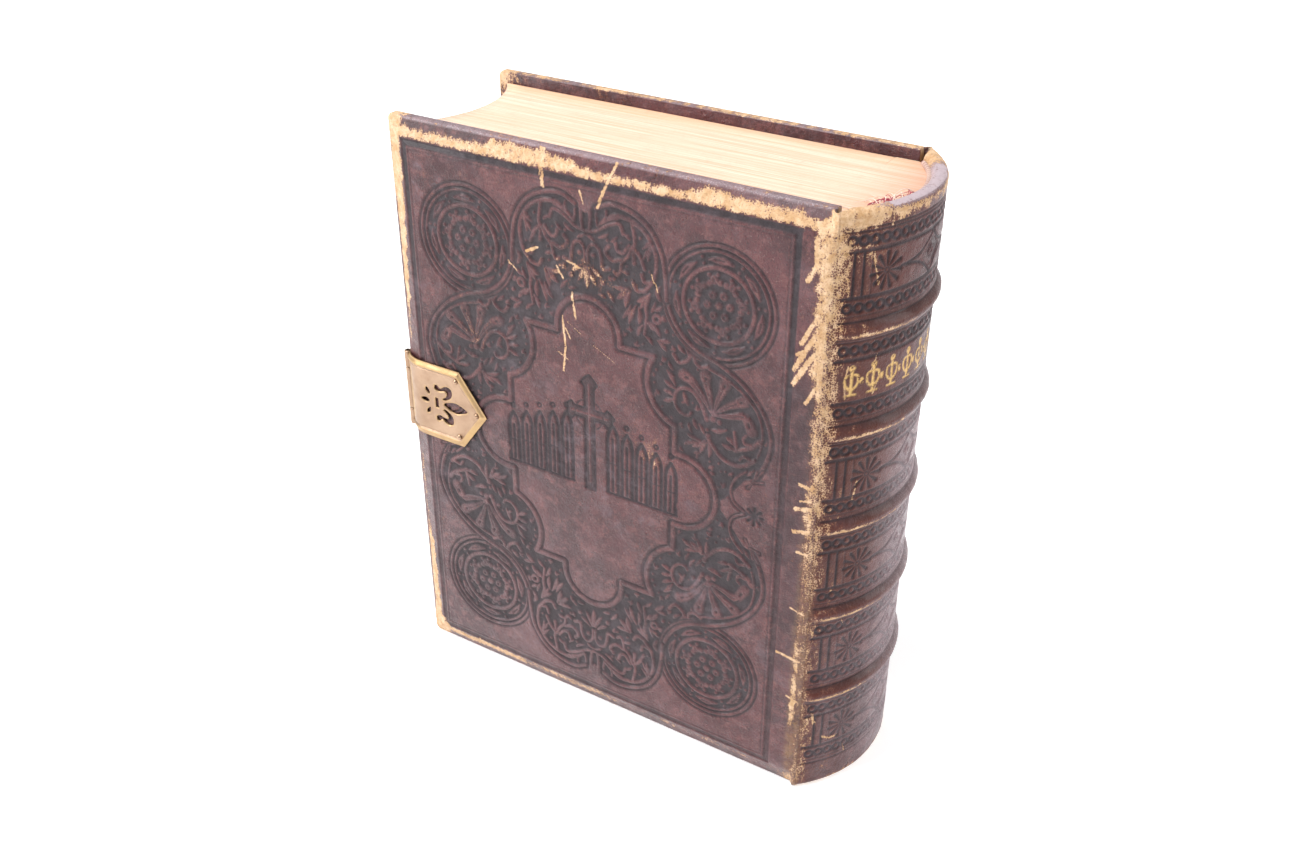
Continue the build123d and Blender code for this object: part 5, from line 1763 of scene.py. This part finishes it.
NODES = frame["nodes"]
brasswork = make_clasp_plate(-1, "rear", "rear_clasp_plate")
brasswork += make_clasp_plate(1, "front", "front_catch_plate")
brass("clasp_brass", True).cover(*brasswork, *make_clasp_arm())
brass("lip_brass", False).cover(NODES["clasp_thumb_lip"])
brass("nail_brass", False, 1.1).cover(NODES["rear_clasp_nails"], NODES["front_catch_nails"])
brass("nail_head_brass", True, 0.9).cover(make_nail_heads(-1, "rear"), make_nail_heads(1, "front"))
plain("thread_red", (0.30, 0.03, 0.07), (0.46, 0.08, 0.12), 3.0, made=True).cover(
    make_threads("frayed_red_threads", 77, 28, 11.0)
)
plain("thread_pale", (0.78, 0.62, 0.52), (0.88, 0.76, 0.66), 3.0, made=True).cover(
    make_threads("frayed_pale_threads", 78, 20, 20.0)
)
for hidden, look in (
    (["clasp_hinge_pin", "catch_bar"],
     plain("pin_steel", (0.30, 0.28, 0.26), (0.45, 0.43, 0.40), 3.0, 0.35, metallic=1.0)),
    (["rear_board", "front_board"], plain("board_wood", (0.26, 0.17, 0.10), (0.40, 0.28, 0.17), 12.0)),
    (["spine_hollow", "spine_lining"], plain("lining_paper", (0.34, 0.25, 0.17), (0.50, 0.39, 0.27), 10.0)),
    (["sewing_tapes"], plain("tape_linen", (0.55, 0.48, 0.36), (0.70, 0.63, 0.50), 4.0, grain=(0.4, 0.08))),
    ([f"raised_band_{i}" for i in range(1, 6)],
     plain("band_cord", (0.16, 0.09, 0.06), (0.26, 0.16, 0.10), 5.0)),
    (["rear_pastedown", "front_pastedown"],
     plain("pastedown_paper", (0.64, 0.50, 0.34), (0.76, 0.64, 0.47), 40.0, grain=(0.8, 0.03))),
):
    look.cover(*(NODES[node] for node in hidden))


# ---- floor, light and camera ----------------------------------------------------------------
FLOOR_HALF = 40000.0
FLOOR_LEVEL = -0.4  # a hair under the book, so that the two never share a plane


def make_floor():
    """Plain pale floor that runs out of sight."""
    steps = np.linspace(-FLOOR_HALF, FLOOR_HALF, 3)
    x, y = np.meshgrid(steps, steps)
    points = np.stack([x, y, np.full(x.shape, FLOOR_LEVEL)], -1).reshape(-1, 3)
    floor = make_mesh("floor", points, [grid_faces(3, 3)])
    s = Surface("floor_white", made=False, roughness=0.9)
    s.colour(s.mix(s.noise(300, 2, 0.5), (0.94, 0.94, 0.945), (0.95, 0.95, 0.95)))
    s.shade({"Specular IOR Level": 0.1, "Emission Color": (1.0, 1.0, 1.0), "Emission Strength": 0.45})
    s.cover(floor)


def add_area(name, place, target, size, power):
    """Soft rectangular lamp, in metres and watts."""
    lamp = bpy.data.lights.new(name, "AREA")
    lamp.shape = "RECTANGLE"
    lamp.size, lamp.size_y = size
    lamp.energy = power
    holder = bpy.data.objects.new(name, lamp)
    bpy.context.scene.collection.objects.link(holder)
    holder.location = place
    holder.rotation_euler = (Vector(target) - Vector(place)).to_track_quat("-Z", "Y").to_euler()


CAMERA_PLACE = (0.32556, -0.5355, 0.5263)  # metres: to the spine's side and above, looking down
CAMERA_RIGHT = Vector((0.84756, 0.53069, 0.00440))
CAMERA_FORWARD = Vector((-0.45550, 0.73168, -0.50712))
FOCAL_LENGTH = 37.18  # on a sensor 36 mm wide


def add_camera():
    """The photograph's view."""
    data = bpy.data.cameras.new("camera")
    data.sensor_width = 36.0
    data.lens = FOCAL_LENGTH
    data.clip_end = 100.0
    camera = bpy.data.objects.new("camera", data)
    bpy.context.scene.collection.objects.link(camera)
    axes = Matrix((CAMERA_RIGHT, CAMERA_RIGHT.cross(CAMERA_FORWARD), -CAMERA_FORWARD)).transposed()
    camera.matrix_world = Matrix.Translation(CAMERA_PLACE) @ axes.to_4x4()
    bpy.context.scene.camera = camera


make_floor()
add_area("key_light", (-0.6, -0.7, 2.1), (0, 0, 0.15), (0.8, 0.8), 58)
add_area("front_light", (-1.5, -1.5, 0.75), (0, 0, 0.18), (0.5, 1.2), 20)
add_area("side_light", (1.9, 0.9, 1.1), (0.1, 0, 0.15), (0.7, 1.4), 30)
world = bpy.data.worlds.new("studio")
world.use_nodes = True
world.node_tree.nodes["Background"].inputs["Color"].default_value = (1.0, 1.0, 1.0, 1.0)
world.node_tree.nodes["Background"].inputs["Strength"].default_value = 0.36
bpy.context.scene.world = world
bpy.context.scene.view_settings.view_transform = "Standard"
add_camera()
